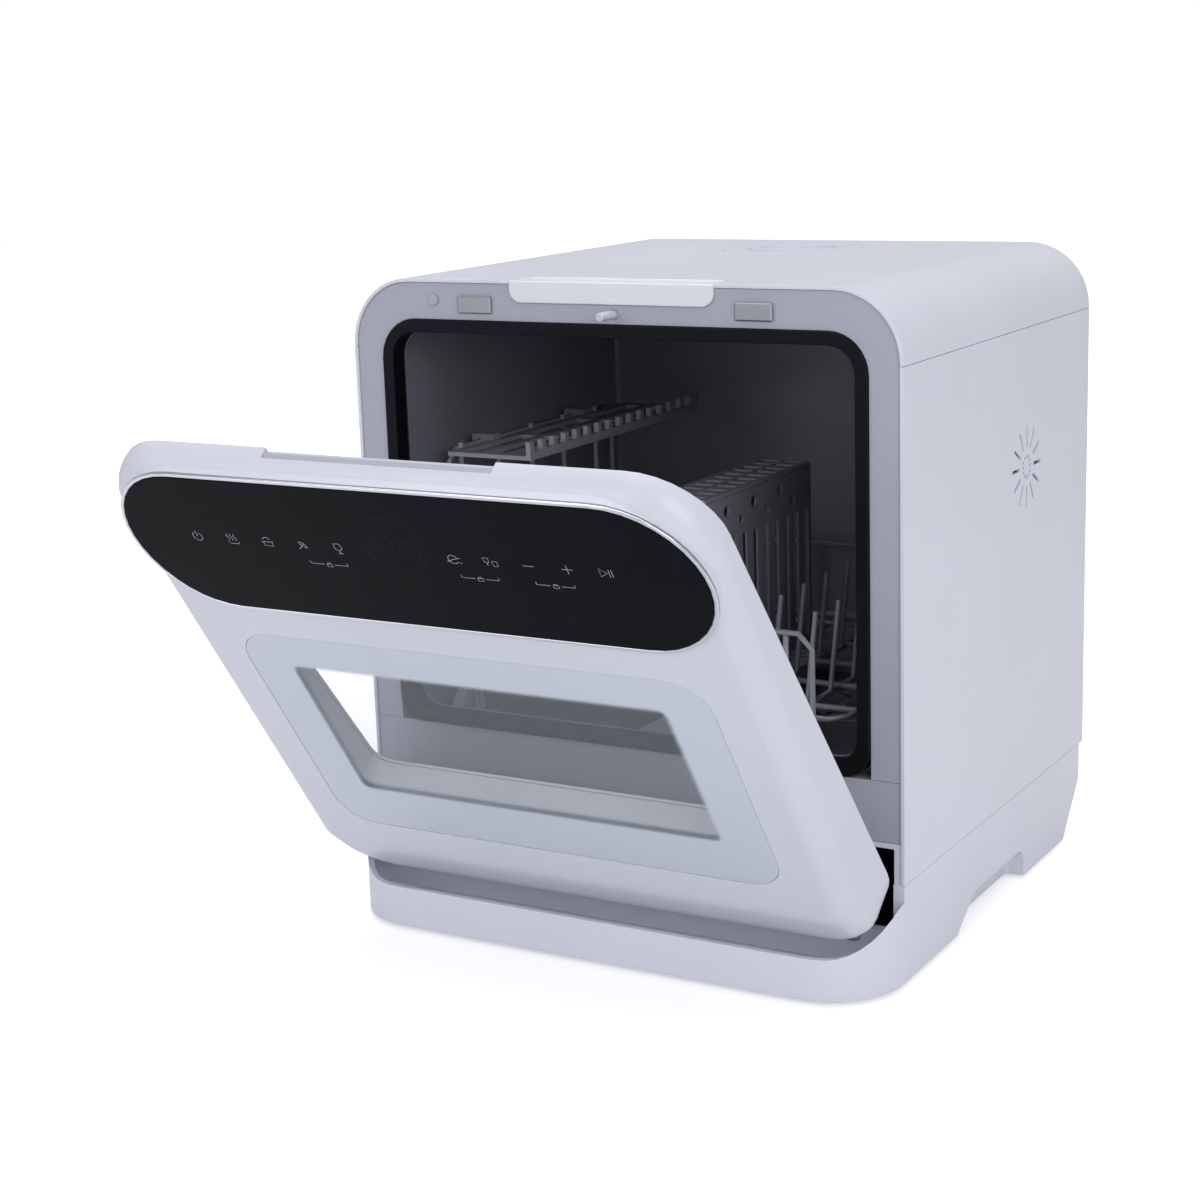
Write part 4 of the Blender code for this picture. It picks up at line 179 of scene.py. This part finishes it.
def relief(tree, skin, height, strength, depth):
    """Lets a value between 0 and 1 stand out as fine relief."""
    bump = tree.nodes.new("ShaderNodeBump")
    bump.inputs["Strength"].default_value = strength
    bump.inputs["Distance"].default_value = depth
    tree.links.new(height, bump.inputs["Height"])
    tree.links.new(bump.outputs["Normal"], skin.inputs["Normal"])


def moulded(name, colour, roughness, peel=0.00004, peel_scale=420, mottle=0.015, specular=0.5):
    """Plastic with a faint orange-peel and a slightly uneven polish."""
    look, skin = new_look(name)
    tree = look.node_tree
    skin.inputs["Specular IOR Level"].default_value = specular
    place = tree.nodes.new("ShaderNodeTexCoord").outputs["Object"]
    cloud = noise(tree, place, CLOUD_SCALE, CLOUD_DETAIL)
    tint = tree.nodes.new("ShaderNodeValToRGB")
    for stop, position, share in zip(tint.color_ramp.elements, CLOUD_STOPS, (1 - mottle, 1 + mottle)):
        stop.position = position
        stop.color = (*[min(1, value * share) for value in colour], 1)
    tree.links.new(cloud, tint.inputs["Fac"])
    tree.links.new(tint.outputs["Color"], skin.inputs["Base Color"])
    smoothest, roughest = [roughness * share for share in POLISH_SHARES]
    tree.links.new(between(tree, cloud, smoothest, roughest), skin.inputs["Roughness"])
    relief(tree, skin, noise(tree, place, peel_scale, PEEL_DETAIL), PEEL_STRENGTH, peel)
    return look


def only(piece):
    """Selects one piece and nothing else."""
    bpy.ops.object.select_all(action="DESELECT")
    piece.select_set(True)
    bpy.context.view_layer.objects.active = piece


def apply_all(piece):
    """Works every modifier of a piece into its mesh."""
    only(piece)
    for modifier in list(piece.modifiers):
        bpy.ops.object.modifier_apply(modifier=modifier.name)


WELD_REACH = 0.00001
FLAT_WITHIN = radians(0.6)
EDGE_FROM = radians(35)
EDGE_SEGMENTS = 2


def eased(node, body, look, radius=0.0004, smooth=40):
    """Stands for a CAD node: the same solid, with welded corners, eased edges and smooth rounds."""
    solid = frame["nodes"][node]
    piece = solid.copy()
    piece.data = solid.data.copy()
    piece.name = node + "_skin"
    bpy.context.scene.collection.objects.link(piece)
    piece.parent = None
    piece.matrix_world = Matrix.Identity(4)
    piece.hide_render = False
    piece.hide_viewport = False
    only(piece)
    bpy.ops.object.mode_set(mode="EDIT")
    bpy.ops.mesh.select_all(action="SELECT")
    bpy.ops.mesh.remove_doubles(threshold=WELD_REACH)
    bpy.ops.mesh.dissolve_limited(angle_limit=FLAT_WITHIN)
    bpy.ops.object.mode_set(mode="OBJECT")
    if radius:
        round_off = piece.modifiers.new("eased_edges", "BEVEL")
        round_off.width = radius
        round_off.segments = EDGE_SEGMENTS
        round_off.limit_method = "ANGLE"
        round_off.angle_limit = EDGE_FROM
        apply_all(piece)
    only(piece)
    bpy.ops.object.shade_smooth_by_angle(angle=radians(smooth), keep_sharp_edges=False)
    weighted = piece.modifiers.new("flat_faces_lead", "WEIGHTED_NORMAL")
    weighted.keep_sharp = True
    apply_all(piece)
    piece.data.materials.clear()
    piece.data.materials.append(look)
    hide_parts(node)
    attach(piece, body)


shell_white = moulded("shell_white", (0.77, 0.78, 0.86), roughness=0.31)
for node in ("base_pan", "left_side_panel", "right_side_panel", "top_cover"):
    eased(node, "cabinet", shell_white)


# Back panel, water inlet and drain outlet: plain mouldings screwed to the rear, seen only from
# behind. They are duller than the shell, as parts from an unpolished tool are.

back_grey = moulded("back_grey", (0.60, 0.62, 0.67), roughness=0.45)
for node in ("back_panel", "inlet_valve"):
    eased(node, "cabinet", back_grey)
outlet_dark = moulded("outlet_dark", (0.075, 0.08, 0.09), roughness=0.45)
eased("drain_spigot", "cabinet", outlet_dark)


# Machine parts behind the tub and under it: milky water tank with its neck, dark sump and fan
# duct with a grey rotor, motors in dull lacquer, and two green circuit boards.

tank_milky = moulded("tank_milky", (0.66, 0.70, 0.74), roughness=0.36, mottle=0.04)
for node in ("water_tank", "filler_neck"):
    eased(node, "cabinet", tank_milky)
for node in ("sump", "fan_housing"):
    eased(node, "cabinet", outlet_dark)
rotor_grey = moulded("rotor_grey", (0.50, 0.52, 0.56), roughness=0.40)
eased("fan_rotor", "fan", rotor_grey)
motor_lacquer = moulded("motor_lacquer", (0.26, 0.25, 0.24), roughness=0.48, peel=0.0001, mottle=0.06)
for node in ("wash_pump", "drain_pump"):
    eased(node, "cabinet", motor_lacquer)
board_green = moulded("board_green", (0.045, 0.19, 0.085), roughness=0.42, mottle=0.12)
eased("power_board", "cabinet", board_green)
eased("touch_board", "door", board_green)


# Front frame and sill: satin grey moulding set back inside the white rim, with a fine
# even grain. The sill below the opening is a separate strip with a shadow gap.

frame_grey = moulded("frame_grey", (0.44, 0.455, 0.525), roughness=0.36, peel=0.00006, peel_scale=900)
for node in ("front_frame", "frame_sill", "frame_plug"):
    eased(node, "cabinet", frame_grey)


# Door gasket: a hollow black rubber bulb pressed into the step of the opening, matt with a
# soft sheen on its rounded lip. The feet, the cap's seal and the gland are the same rubber.

gasket_black = moulded("gasket_black", (0.004, 0.004, 0.005), roughness=0.38, peel=0.00006,
                       peel_scale=1400, specular=0.14)
eased("door_gasket", "cabinet", gasket_black, radius=0.0018, smooth=60)
for corner in ("front_left", "front_right", "rear_left", "rear_right"):
    eased(corner + "_foot", "cabinet", gasket_black)
eased("cap_seal", "seal", gasket_black, radius=0.0006)
eased("cord_gland", "cabinet", gasket_black)


# Handle cup: a glossy white tray let into the top front edge, for fingers to pull on. It is
# a moulding of its own, clipped in from the front.

tray_white = moulded("tray_white", (0.86, 0.87, 0.92), roughness=0.16)
eased("handle_cup", "cabinet", tray_white, radius=0.0012, smooth=60)


# Metal parts and the release pin: die-cast magnet pads in the frame, pressed steel hinges, a
# steel heater. Between the pads a pale moulded rod pushes the door open after drying.

BRUSH_SCALE = 300
BRUSH_DETAIL = 4
BRUSH_STRETCH = (0.15, 1, 1)
BRUSH_SHARES = (0.8, 1.25)
SCRATCH_DEPTH = 0.00003


def satin_metal(name, colour, roughness, scratches):
    """Metal with fine scratches in its polish."""
    look, skin = new_look(name)
    tree = look.node_tree
    skin.inputs["Metallic"].default_value = 1.0
    skin.inputs["Base Color"].default_value = (*colour, 1)
    stretch = tree.nodes.new("ShaderNodeMapping")
    stretch.inputs["Scale"].default_value = BRUSH_STRETCH
    tree.links.new(tree.nodes.new("ShaderNodeTexCoord").outputs["Object"], stretch.inputs["Vector"])
    brush = noise(tree, stretch.outputs["Vector"], BRUSH_SCALE, BRUSH_DETAIL)
    smoothest, roughest = [roughness * share for share in BRUSH_SHARES]
    tree.links.new(between(tree, brush, smoothest, roughest), skin.inputs["Roughness"])
    relief(tree, skin, brush, scratches, SCRATCH_DEPTH)
    return look


cast_plate = satin_metal("cast_plate", (0.38, 0.385, 0.41), roughness=0.34, scratches=0.2)
for side in ("left", "right"):
    eased(side + "_door_magnet", "cabinet", cast_plate, radius=0.0011, smooth=60)
sheet_steel = satin_metal("sheet_steel", (0.42, 0.46, 0.52), roughness=0.34, scratches=0.15)
for side in ("left", "right"):
    eased(side + "_hinge_bracket", "cabinet", sheet_steel, radius=0.0002)
    eased(side + "_hinge_arm", "door", sheet_steel, radius=0.0002)
eased("heater", "cabinet", sheet_steel)
pin_white = moulded("pin_white", (0.66, 0.67, 0.71), roughness=0.30)
eased("door_release_pin", "release", pin_white, radius=0.0008, smooth=60)


# Tub: dark polished plastic liner, which mirrors the rack softly and takes a grey sheen
# where it faces the light from the open door.

tub_dark = moulded("tub_dark", (0.165, 0.170, 0.196), roughness=0.25, peel=0.00006, peel_scale=250,
                   mottle=0.05)
eased("tub", "cabinet", tub_dark, smooth=50)


# Rack of grey coated wire with its two side frames, rollers, comb-edged cup shelf and
# cutlery basket. The coating is smooth and catches thin highlights.

wire_grey = moulded("wire_grey", (0.30, 0.31, 0.345), roughness=0.25, peel=0.00006, peel_scale=700)
for node in ("dish_rack", "rack_left_fence", "rack_right_rail"):
    eased(node, "rack", wire_grey, radius=0, smooth=70)
wheel_grey = moulded("wheel_grey", (0.40, 0.42, 0.46), roughness=0.35)
for corner in ("front_left", "front_right", "rear_left", "rear_right"):
    eased(corner + "_rack_wheel", corner + "_wheel", wheel_grey)
basket_dark = moulded("basket_dark", (0.23, 0.235, 0.265), roughness=0.36)
for node, body in (("cup_shelf", "shelf"), ("cutlery_basket", "rack"), ("basket_lid", "lid")):
    eased(node, body, basket_dark, radius=0.0003)


# Spray arm, riser and filter: pale moulded parts on the tub floor, and a satin steel plate
# that keeps the food scraps back.

arm_grey = moulded("arm_grey", (0.55, 0.57, 0.61), roughness=0.35)
for node in ("spray_arm", "spray_arm_nut"):
    eased(node, "spray", arm_grey, radius=0.0005)
for node in ("spray_riser", "filter_cup"):
    eased(node, "cabinet", arm_grey)
eased("filter_plate", "cabinet", cast_plate, radius=0.0002)


# Door: white outer moulding, grey liner and tunnel behind the window, grip strip along the
# top, and a black control glass let into a bright ring.

door_white = moulded("door_white", (0.71, 0.72, 0.80), roughness=0.29)
eased("door_outer_panel", "door", door_white)
liner_grey = moulded("liner_grey", (0.60, 0.62, 0.67), roughness=0.40)
for node in ("door_inner_liner", "window_frame"):
    eased(node, "door", liner_grey)
eased("door_grip_strip", "door", frame_grey)
bright_ring = satin_metal("bright_ring", (0.80, 0.81, 0.84), roughness=0.10, scratches=0.02)
eased("panel_trim_ring", "door", bright_ring, radius=0.0007, smooth=70)
glass_black = moulded("glass_black", (0.0040, 0.0046, 0.0060), roughness=0.07, peel=0.000002, specular=0.05)
eased("control_glass", "door", glass_black, radius=0.0003)


# Window glass: one flush pane with a pale printed band. The band ends in rows of shrinking
# dots, and the middle stays clear but for a faint grey veil, partly tint and partly painted
# reflection, so that the rack shows through it and through the plain inner pane, which
# closes the door's back.

# The door's face leans: it stands less far in front of the cabinet at its top than at the
# crease near its foot. The hinge's place and the angle at rest are those of the frame.
CABINET_FRONT = -0.042564
DOOR_TOP = 0.462
FACE_TOP_REACH = 0.0225
CREASE_HEIGHT = 0.097
CREASE_REACH = 0.052
FACE_LEAN = atan2(CREASE_REACH - FACE_TOP_REACH, DOOR_TOP - CREASE_HEIGHT)
door_hinge = next(joint for joint in frame["joints"] if joint["name"] == "door_hinge")
hinge_place = Vector(door_hinge["pos_m"])
open_by = -radians(door_hinge["range_deg"][0])
on_door = (Matrix.Translation(hinge_place) @ Matrix.Rotation(open_by, 4, "X")
           @ Matrix.Translation(-hinge_place)
           @ Matrix.Translation((0, CABINET_FRONT - FACE_TOP_REACH, DOOR_TOP))
           @ Matrix.Rotation(-FACE_LEAN, 4, "X"))


def settle_on_door(piece):
    """Lays a piece made flat, x across and z down from the top edge, on the leaning door."""
    piece.data.transform(piece.matrix_basis)
    piece.matrix_basis = Matrix.Identity(4)
    piece.data.transform(on_door)


WINDOW_TOP = -0.1475
WINDOW_FOOT = -0.3415
WINDOW_HALF = 0.170
PANE_THICKNESS = 0.004
PANE_CORNER = 0.026
PANE_CORNER_SEGMENTS = 12
PANE_LIP = 0.0007
PANE_LIP_FROM = radians(50)
PANE_SMOOTH = radians(30)

bpy.ops.object.select_all(action="DESELECT")
bpy.ops.mesh.primitive_cube_add(size=1, location=(0, PANE_THICKNESS / 2, (WINDOW_TOP + WINDOW_FOOT) / 2))
pane = bpy.context.object
pane.name = "window_pane"
pane.scale = (WINDOW_HALF * 2, PANE_THICKNESS, WINDOW_TOP - WINDOW_FOOT)
bpy.ops.object.transform_apply(location=True, rotation=False, scale=True)
bpy.context.tool_settings.mesh_select_mode = (False, True, False)
bpy.ops.object.mode_set(mode="EDIT")
bpy.ops.mesh.select_all(action="DESELECT")
bpy.ops.object.mode_set(mode="OBJECT")
for edge in pane.data.edges:
    ends = [pane.data.vertices[index].co for index in edge.vertices]
    edge.select = abs(ends[0].y - ends[1].y) > PANE_THICKNESS / 2
bpy.ops.object.mode_set(mode="EDIT")
bpy.ops.mesh.bevel(offset=PANE_CORNER, segments=PANE_CORNER_SEGMENTS, affect="EDGES")
bpy.ops.object.mode_set(mode="OBJECT")
lip = pane.modifiers.new("ground_edge", "BEVEL")
lip.width = PANE_LIP
lip.segments = EDGE_SEGMENTS
lip.limit_method = "ANGLE"
lip.angle_limit = PANE_LIP_FROM
apply_all(pane)
flat = pane.data.uv_layers.new(name="from_front")
for loop in pane.data.loops:
    spot = pane.data.vertices[loop.vertex_index].co
    flat.data[loop.index].uv = (spot.x, spot.z)
only(pane)
bpy.ops.object.shade_smooth_by_angle(angle=PANE_SMOOTH)

CLEAR_MIDDLE = -0.2380
CLEAR_HALF_WIDTH = 0.1385
CLEAR_HALF_HEIGHT = 0.0640
CLEAR_CORNER = 0.008
DOT_PITCH = 0.00125
DOTS_START = -0.0055
DOTS_MEET = 0.0008
DOT_FULL_SHARE = 0.74
# The clear middle keeps a faint grey veil over the rack behind it: partly the glass's tint, partly a painted
# reflection haze.
CLEAR_ALPHA = 0.13
CLEAR_TINT_AND_PAINTED_REFLECTION = (0.30, 0.32, 0.36, 1)
BAND_TONE = (0.61, 0.665, 0.735, 1)
PANE_ROUGHNESS = 0.04
pane_look, pane_skin = new_look("printed_glass")
pane_tree = pane_look.node_tree
pane_skin.inputs["Roughness"].default_value = PANE_ROUGHNESS


def step_of(operation, *values):
    """One arithmetic step in the pane's pattern: a value is a number or another step's result."""
    node = pane_tree.nodes.new("ShaderNodeMath")
    node.operation = operation
    for socket, value in zip(node.inputs, values):
        if isinstance(value, (int, float)):
            socket.default_value = value
        else:
            pane_tree.links.new(value, socket)
    return node.outputs[0]


def beyond(value, limit):
    """How far a value lies past the limit on either side, or zero inside it."""
    return step_of("MAXIMUM", step_of("SUBTRACT", step_of("ABSOLUTE", value), limit), 0.0)


def from_cell_middle(value):
    """Where a value lies in its cell of the dot pattern, counted from the cell's middle."""
    return step_of("SUBTRACT", step_of("FRACT", step_of("DIVIDE", value, DOT_PITCH)), 0.5)


def length_of(x, z):
    """How long a line is that reaches x across and z down."""
    return step_of("SQRT", step_of("ADD", step_of("MULTIPLY", x, x), step_of("MULTIPLY", z, z)))


pane_place = pane_tree.nodes.new("ShaderNodeUVMap")
pane_place.uv_map = "from_front"
apart = pane_tree.nodes.new("ShaderNodeSeparateXYZ")
pane_tree.links.new(pane_place.outputs["UV"], apart.inputs["Vector"])
across, down = apart.outputs["X"], apart.outputs["Y"]
past_side = beyond(across, CLEAR_HALF_WIDTH - CLEAR_CORNER)
past_end = beyond(step_of("SUBTRACT", down, CLEAR_MIDDLE), CLEAR_HALF_HEIGHT - CLEAR_CORNER)
outside = step_of("SUBTRACT", length_of(past_side, past_end), CLEAR_CORNER)
from_dot = length_of(from_cell_middle(across), from_cell_middle(down))
dot_radius = between(pane_tree, outside, 0.0, DOT_FULL_SHARE, DOTS_START, DOTS_MEET)
printed = step_of("LESS_THAN", from_dot, dot_radius)
pane_tree.links.new(between(pane_tree, printed, CLEAR_ALPHA, 1.0), pane_skin.inputs["Alpha"])
tone = pane_tree.nodes.new("ShaderNodeValToRGB")
tone.color_ramp.elements[0].color = CLEAR_TINT_AND_PAINTED_REFLECTION
tone.color_ramp.elements[1].color = BAND_TONE
pane_tree.links.new(printed, tone.inputs["Fac"])
pane_tree.links.new(tone.outputs["Color"], pane_skin.inputs["Base Color"])
pane.data.materials.clear()
pane.data.materials.append(pane_look)
settle_on_door(pane)
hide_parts("window_outer_glass")
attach(pane, "door")

# The inner pane's faint grey veil is partly its tint and partly a painted reflection haze.
INNER_TINT_AND_PAINTED_REFLECTION = (0.55, 0.58, 0.60, 1)
INNER_ROUGHNESS = 0.05
INNER_ALPHA = 0.09
clear_glass, clear_skin = new_look("clear_glass")
clear_skin.inputs["Base Color"].default_value = INNER_TINT_AND_PAINTED_REFLECTION
clear_skin.inputs["Roughness"].default_value = INNER_ROUGHNESS
clear_skin.inputs["Alpha"].default_value = INNER_ALPHA
eased("window_inner_glass", "door", clear_glass, radius=0.0003)


# Touch symbols: pale ink printed on the black glass as thin line drawings, with brackets
# under the pairs that are pressed together, and a dim round display between them.

SYMBOL_LINE = 0.00022
GLASS_FRONT = -0.0018
PRINT_FLATNESS = 0.12
strokes = []


def stroke(points, closed=False, line=SYMBOL_LINE):
    """One printed line, from points across and down the door's face."""
    path = bpy.data.curves.new("stroke", "CURVE")
    path.dimensions = "3D"
    path.bevel_depth = line
    path.bevel_resolution = 1
    run = path.splines.new("POLY")
    run.points.add(len(points) - 1)
    for knot, (x, z) in zip(run.points, points):
        knot.co = (x, GLASS_FRONT, z, 1)
    run.use_cyclic_u = closed
    drawn = bpy.data.objects.new("stroke", path)
    bpy.context.scene.collection.objects.link(drawn)
    drawn.scale = (1, PRINT_FLATNESS, 1)
    strokes.append(drawn)


def arc(x, z, radius, start, end, count=14):
    """Points along part of a circle between two angles in degrees."""
    turns = [radians(start + (end - start) * step / count) for step in range(count + 1)]
    return [(x + radius * cos(turn), z + radius * sin(turn)) for turn in turns]


def printed_as(name, look):
    """Makes one piece of the strokes drawn so far and lays it on the door."""
    bpy.ops.object.select_all(action="DESELECT")
    for drawn in strokes:
        drawn.select_set(True)
    bpy.context.view_layer.objects.active = strokes[0]
    bpy.ops.object.convert(target="MESH")
    bpy.context.view_layer.objects.active = bpy.context.selected_objects[0]
    bpy.ops.object.transform_apply(location=False, rotation=False, scale=True)
    bpy.ops.object.join()
    piece = bpy.context.object
    piece.name = name
    piece.data.transform(Matrix.Translation((0, GLASS_FRONT * (1 - PRINT_FLATNESS), 0)))
    piece.data.materials.clear()
    piece.data.materials.append(look)
    settle_on_door(piece)
    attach(piece, "door")
    strokes.clear()


# Each symbol stands on one line across the glass and is drawn around its own middle, on a
# grid of tenths of a millimetre.
SYMBOL_GRID = 0.0001
LINE_Z = -0.0565
POWER_X, STEAM_X, POT_X, LEAF_X, GLASS_X = -0.1485, -0.1215, -0.0945, -0.0690, -0.0420
SPRAY_X, CUPS_X, MINUS_X, PLUS_X, START_X = 0.0390, 0.0645, 0.0895, 0.1150, 0.1400


def symbol(middle_x, *lines, closed=False):
    """Draws the lines of a symbol around its middle."""
    for line in lines:
        stroke([(middle_x + x * SYMBOL_GRID, LINE_Z + z * SYMBOL_GRID) for x, z in line], closed)


symbol(POWER_X, arc(0, 0, 35.2, 120, 420), [(0, 48.4), (0, 0)])
STEAM_SWAY = 6
STEAM_TURN = 1.05
STEAM_RISE = 9
STEAM_FOOT = -10
STEAM_POINTS = 7
for plume_x in (-26, 0, 26):
    symbol(STEAM_X, [(plume_x + STEAM_SWAY * sin(step * STEAM_TURN), STEAM_FOOT + step * STEAM_RISE)
                     for step in range(STEAM_POINTS)])
symbol(STEAM_X, [(-42, -22), (-28, -36), (28, -36), (42, -22)])
symbol(POT_X, [(-42, 6), (42, 6)], [(-32, 6), (-32, -28), (32, -28), (32, 6)], arc(0, 16, 28, 20, 160))
symbol(LEAF_X, arc(-12, -16, 46, 0, 90), arc(34, 30, 46, 180, 270), [(-30, -32), (22, 20)])
symbol(GLASS_X, arc(0, 12, 26, 180, 360), [(-26, 12), (-20, 42), (20, 42), (26, 12)],
       [(0, -14), (0, -38)], [(-18, -40), (18, -40)])
symbol(SPRAY_X, arc(0, 0, 34, 30, 330), [(-50, -24), (0, 0), (52, 14)], [(36, -22), (52, -30)])
symbol(CUPS_X, [(-44, 38), (-40, 0), (-12, 0), (-8, 38)], closed=True)
symbol(CUPS_X, [(-26, 0), (-26, -26)])
symbol(CUPS_X, [(8, 12), (12, -28), (40, -28), (44, 12)], closed=True)
symbol(MINUS_X, [(-36, 0), (36, 0)])
symbol(PLUS_X, [(-36, 0), (36, 0)], [(0, -36), (0, 36)])
symbol(START_X, [(-40, 32), (-40, -32), (6, 0)], closed=True)
symbol(START_X, [(20, 30), (20, -30)], [(38, 30), (38, -30)])

# A bracket under each pair reaches from one symbol to the other, with a small lock in it.
BRACKET_Z = LINE_Z - 0.0148
BRACKET_TICK = 0.0022
LOCK_GAP = 0.0038
LOCK_HALF = 0.0018
LOCK_TOP = 0.0004
LOCK_SHACKLE = 0.0012
for left_x, right_x in ((LEAF_X, GLASS_X), (SPRAY_X, CUPS_X), (MINUS_X, PLUS_X)):
    middle = (left_x + right_x) / 2
    stroke([(left_x, BRACKET_Z + BRACKET_TICK), (left_x, BRACKET_Z), (middle - LOCK_GAP, BRACKET_Z)])
    stroke([(middle + LOCK_GAP, BRACKET_Z), (right_x, BRACKET_Z), (right_x, BRACKET_Z + BRACKET_TICK)])
    lock_left, lock_right = middle - LOCK_HALF, middle + LOCK_HALF
    lock_foot, lock_top = BRACKET_Z - LOCK_HALF, BRACKET_Z + LOCK_TOP
    stroke([(lock_left, lock_foot), (lock_right, lock_foot), (lock_right, lock_top), (lock_left, lock_top)],
           closed=True)
    stroke(arc(middle, lock_top, LOCK_SHACKLE, 0, 180, count=8))
printed_as("touch_symbols", moulded("symbol_ink", (0.42, 0.45, 0.50), roughness=0.5))

# The display is unlit: a thin ring with the dark bars of four plain digits in it.
DISPLAY_Z = -0.0490
RING_RADIUS = 0.0223
RING_LINE = 0.0003
DIGIT_PLACES = (-0.0125, -0.0035, 0.0065, 0.0150)
DIGIT_HIGH = 0.0060
DIGIT_SIDE = 0.0028
BAR_HALF = 0.0022
BAR_GAP = 0.0007
BAR_LINE = 0.0004
stroke(arc(0, DISPLAY_Z, RING_RADIUS, 0, 360, count=64), line=RING_LINE)
for digit_x in DIGIT_PLACES:
    for bar_z in (DISPLAY_Z + DIGIT_HIGH, DISPLAY_Z, DISPLAY_Z - DIGIT_HIGH):
        stroke([(digit_x - BAR_HALF, bar_z), (digit_x + BAR_HALF, bar_z)], line=BAR_LINE)
    for bar_x in (digit_x - DIGIT_SIDE, digit_x + DIGIT_SIDE):
        for far, near in ((DIGIT_HIGH - BAR_GAP, BAR_GAP), (-BAR_GAP, BAR_GAP - DIGIT_HIGH)):
            stroke([(bar_x, DISPLAY_Z + far), (bar_x, DISPLAY_Z + near)], line=BAR_LINE)
printed_as("round_display", moulded("display_ink", (0.009, 0.0105, 0.013), roughness=0.4, specular=0.06))


# Filler cap: a white disc with two finger wells beside its grip bar, level with the cover
# and parted from it by a narrow ring.

eased("filler_cap", "cap", shell_white, radius=0.0006, smooth=50)
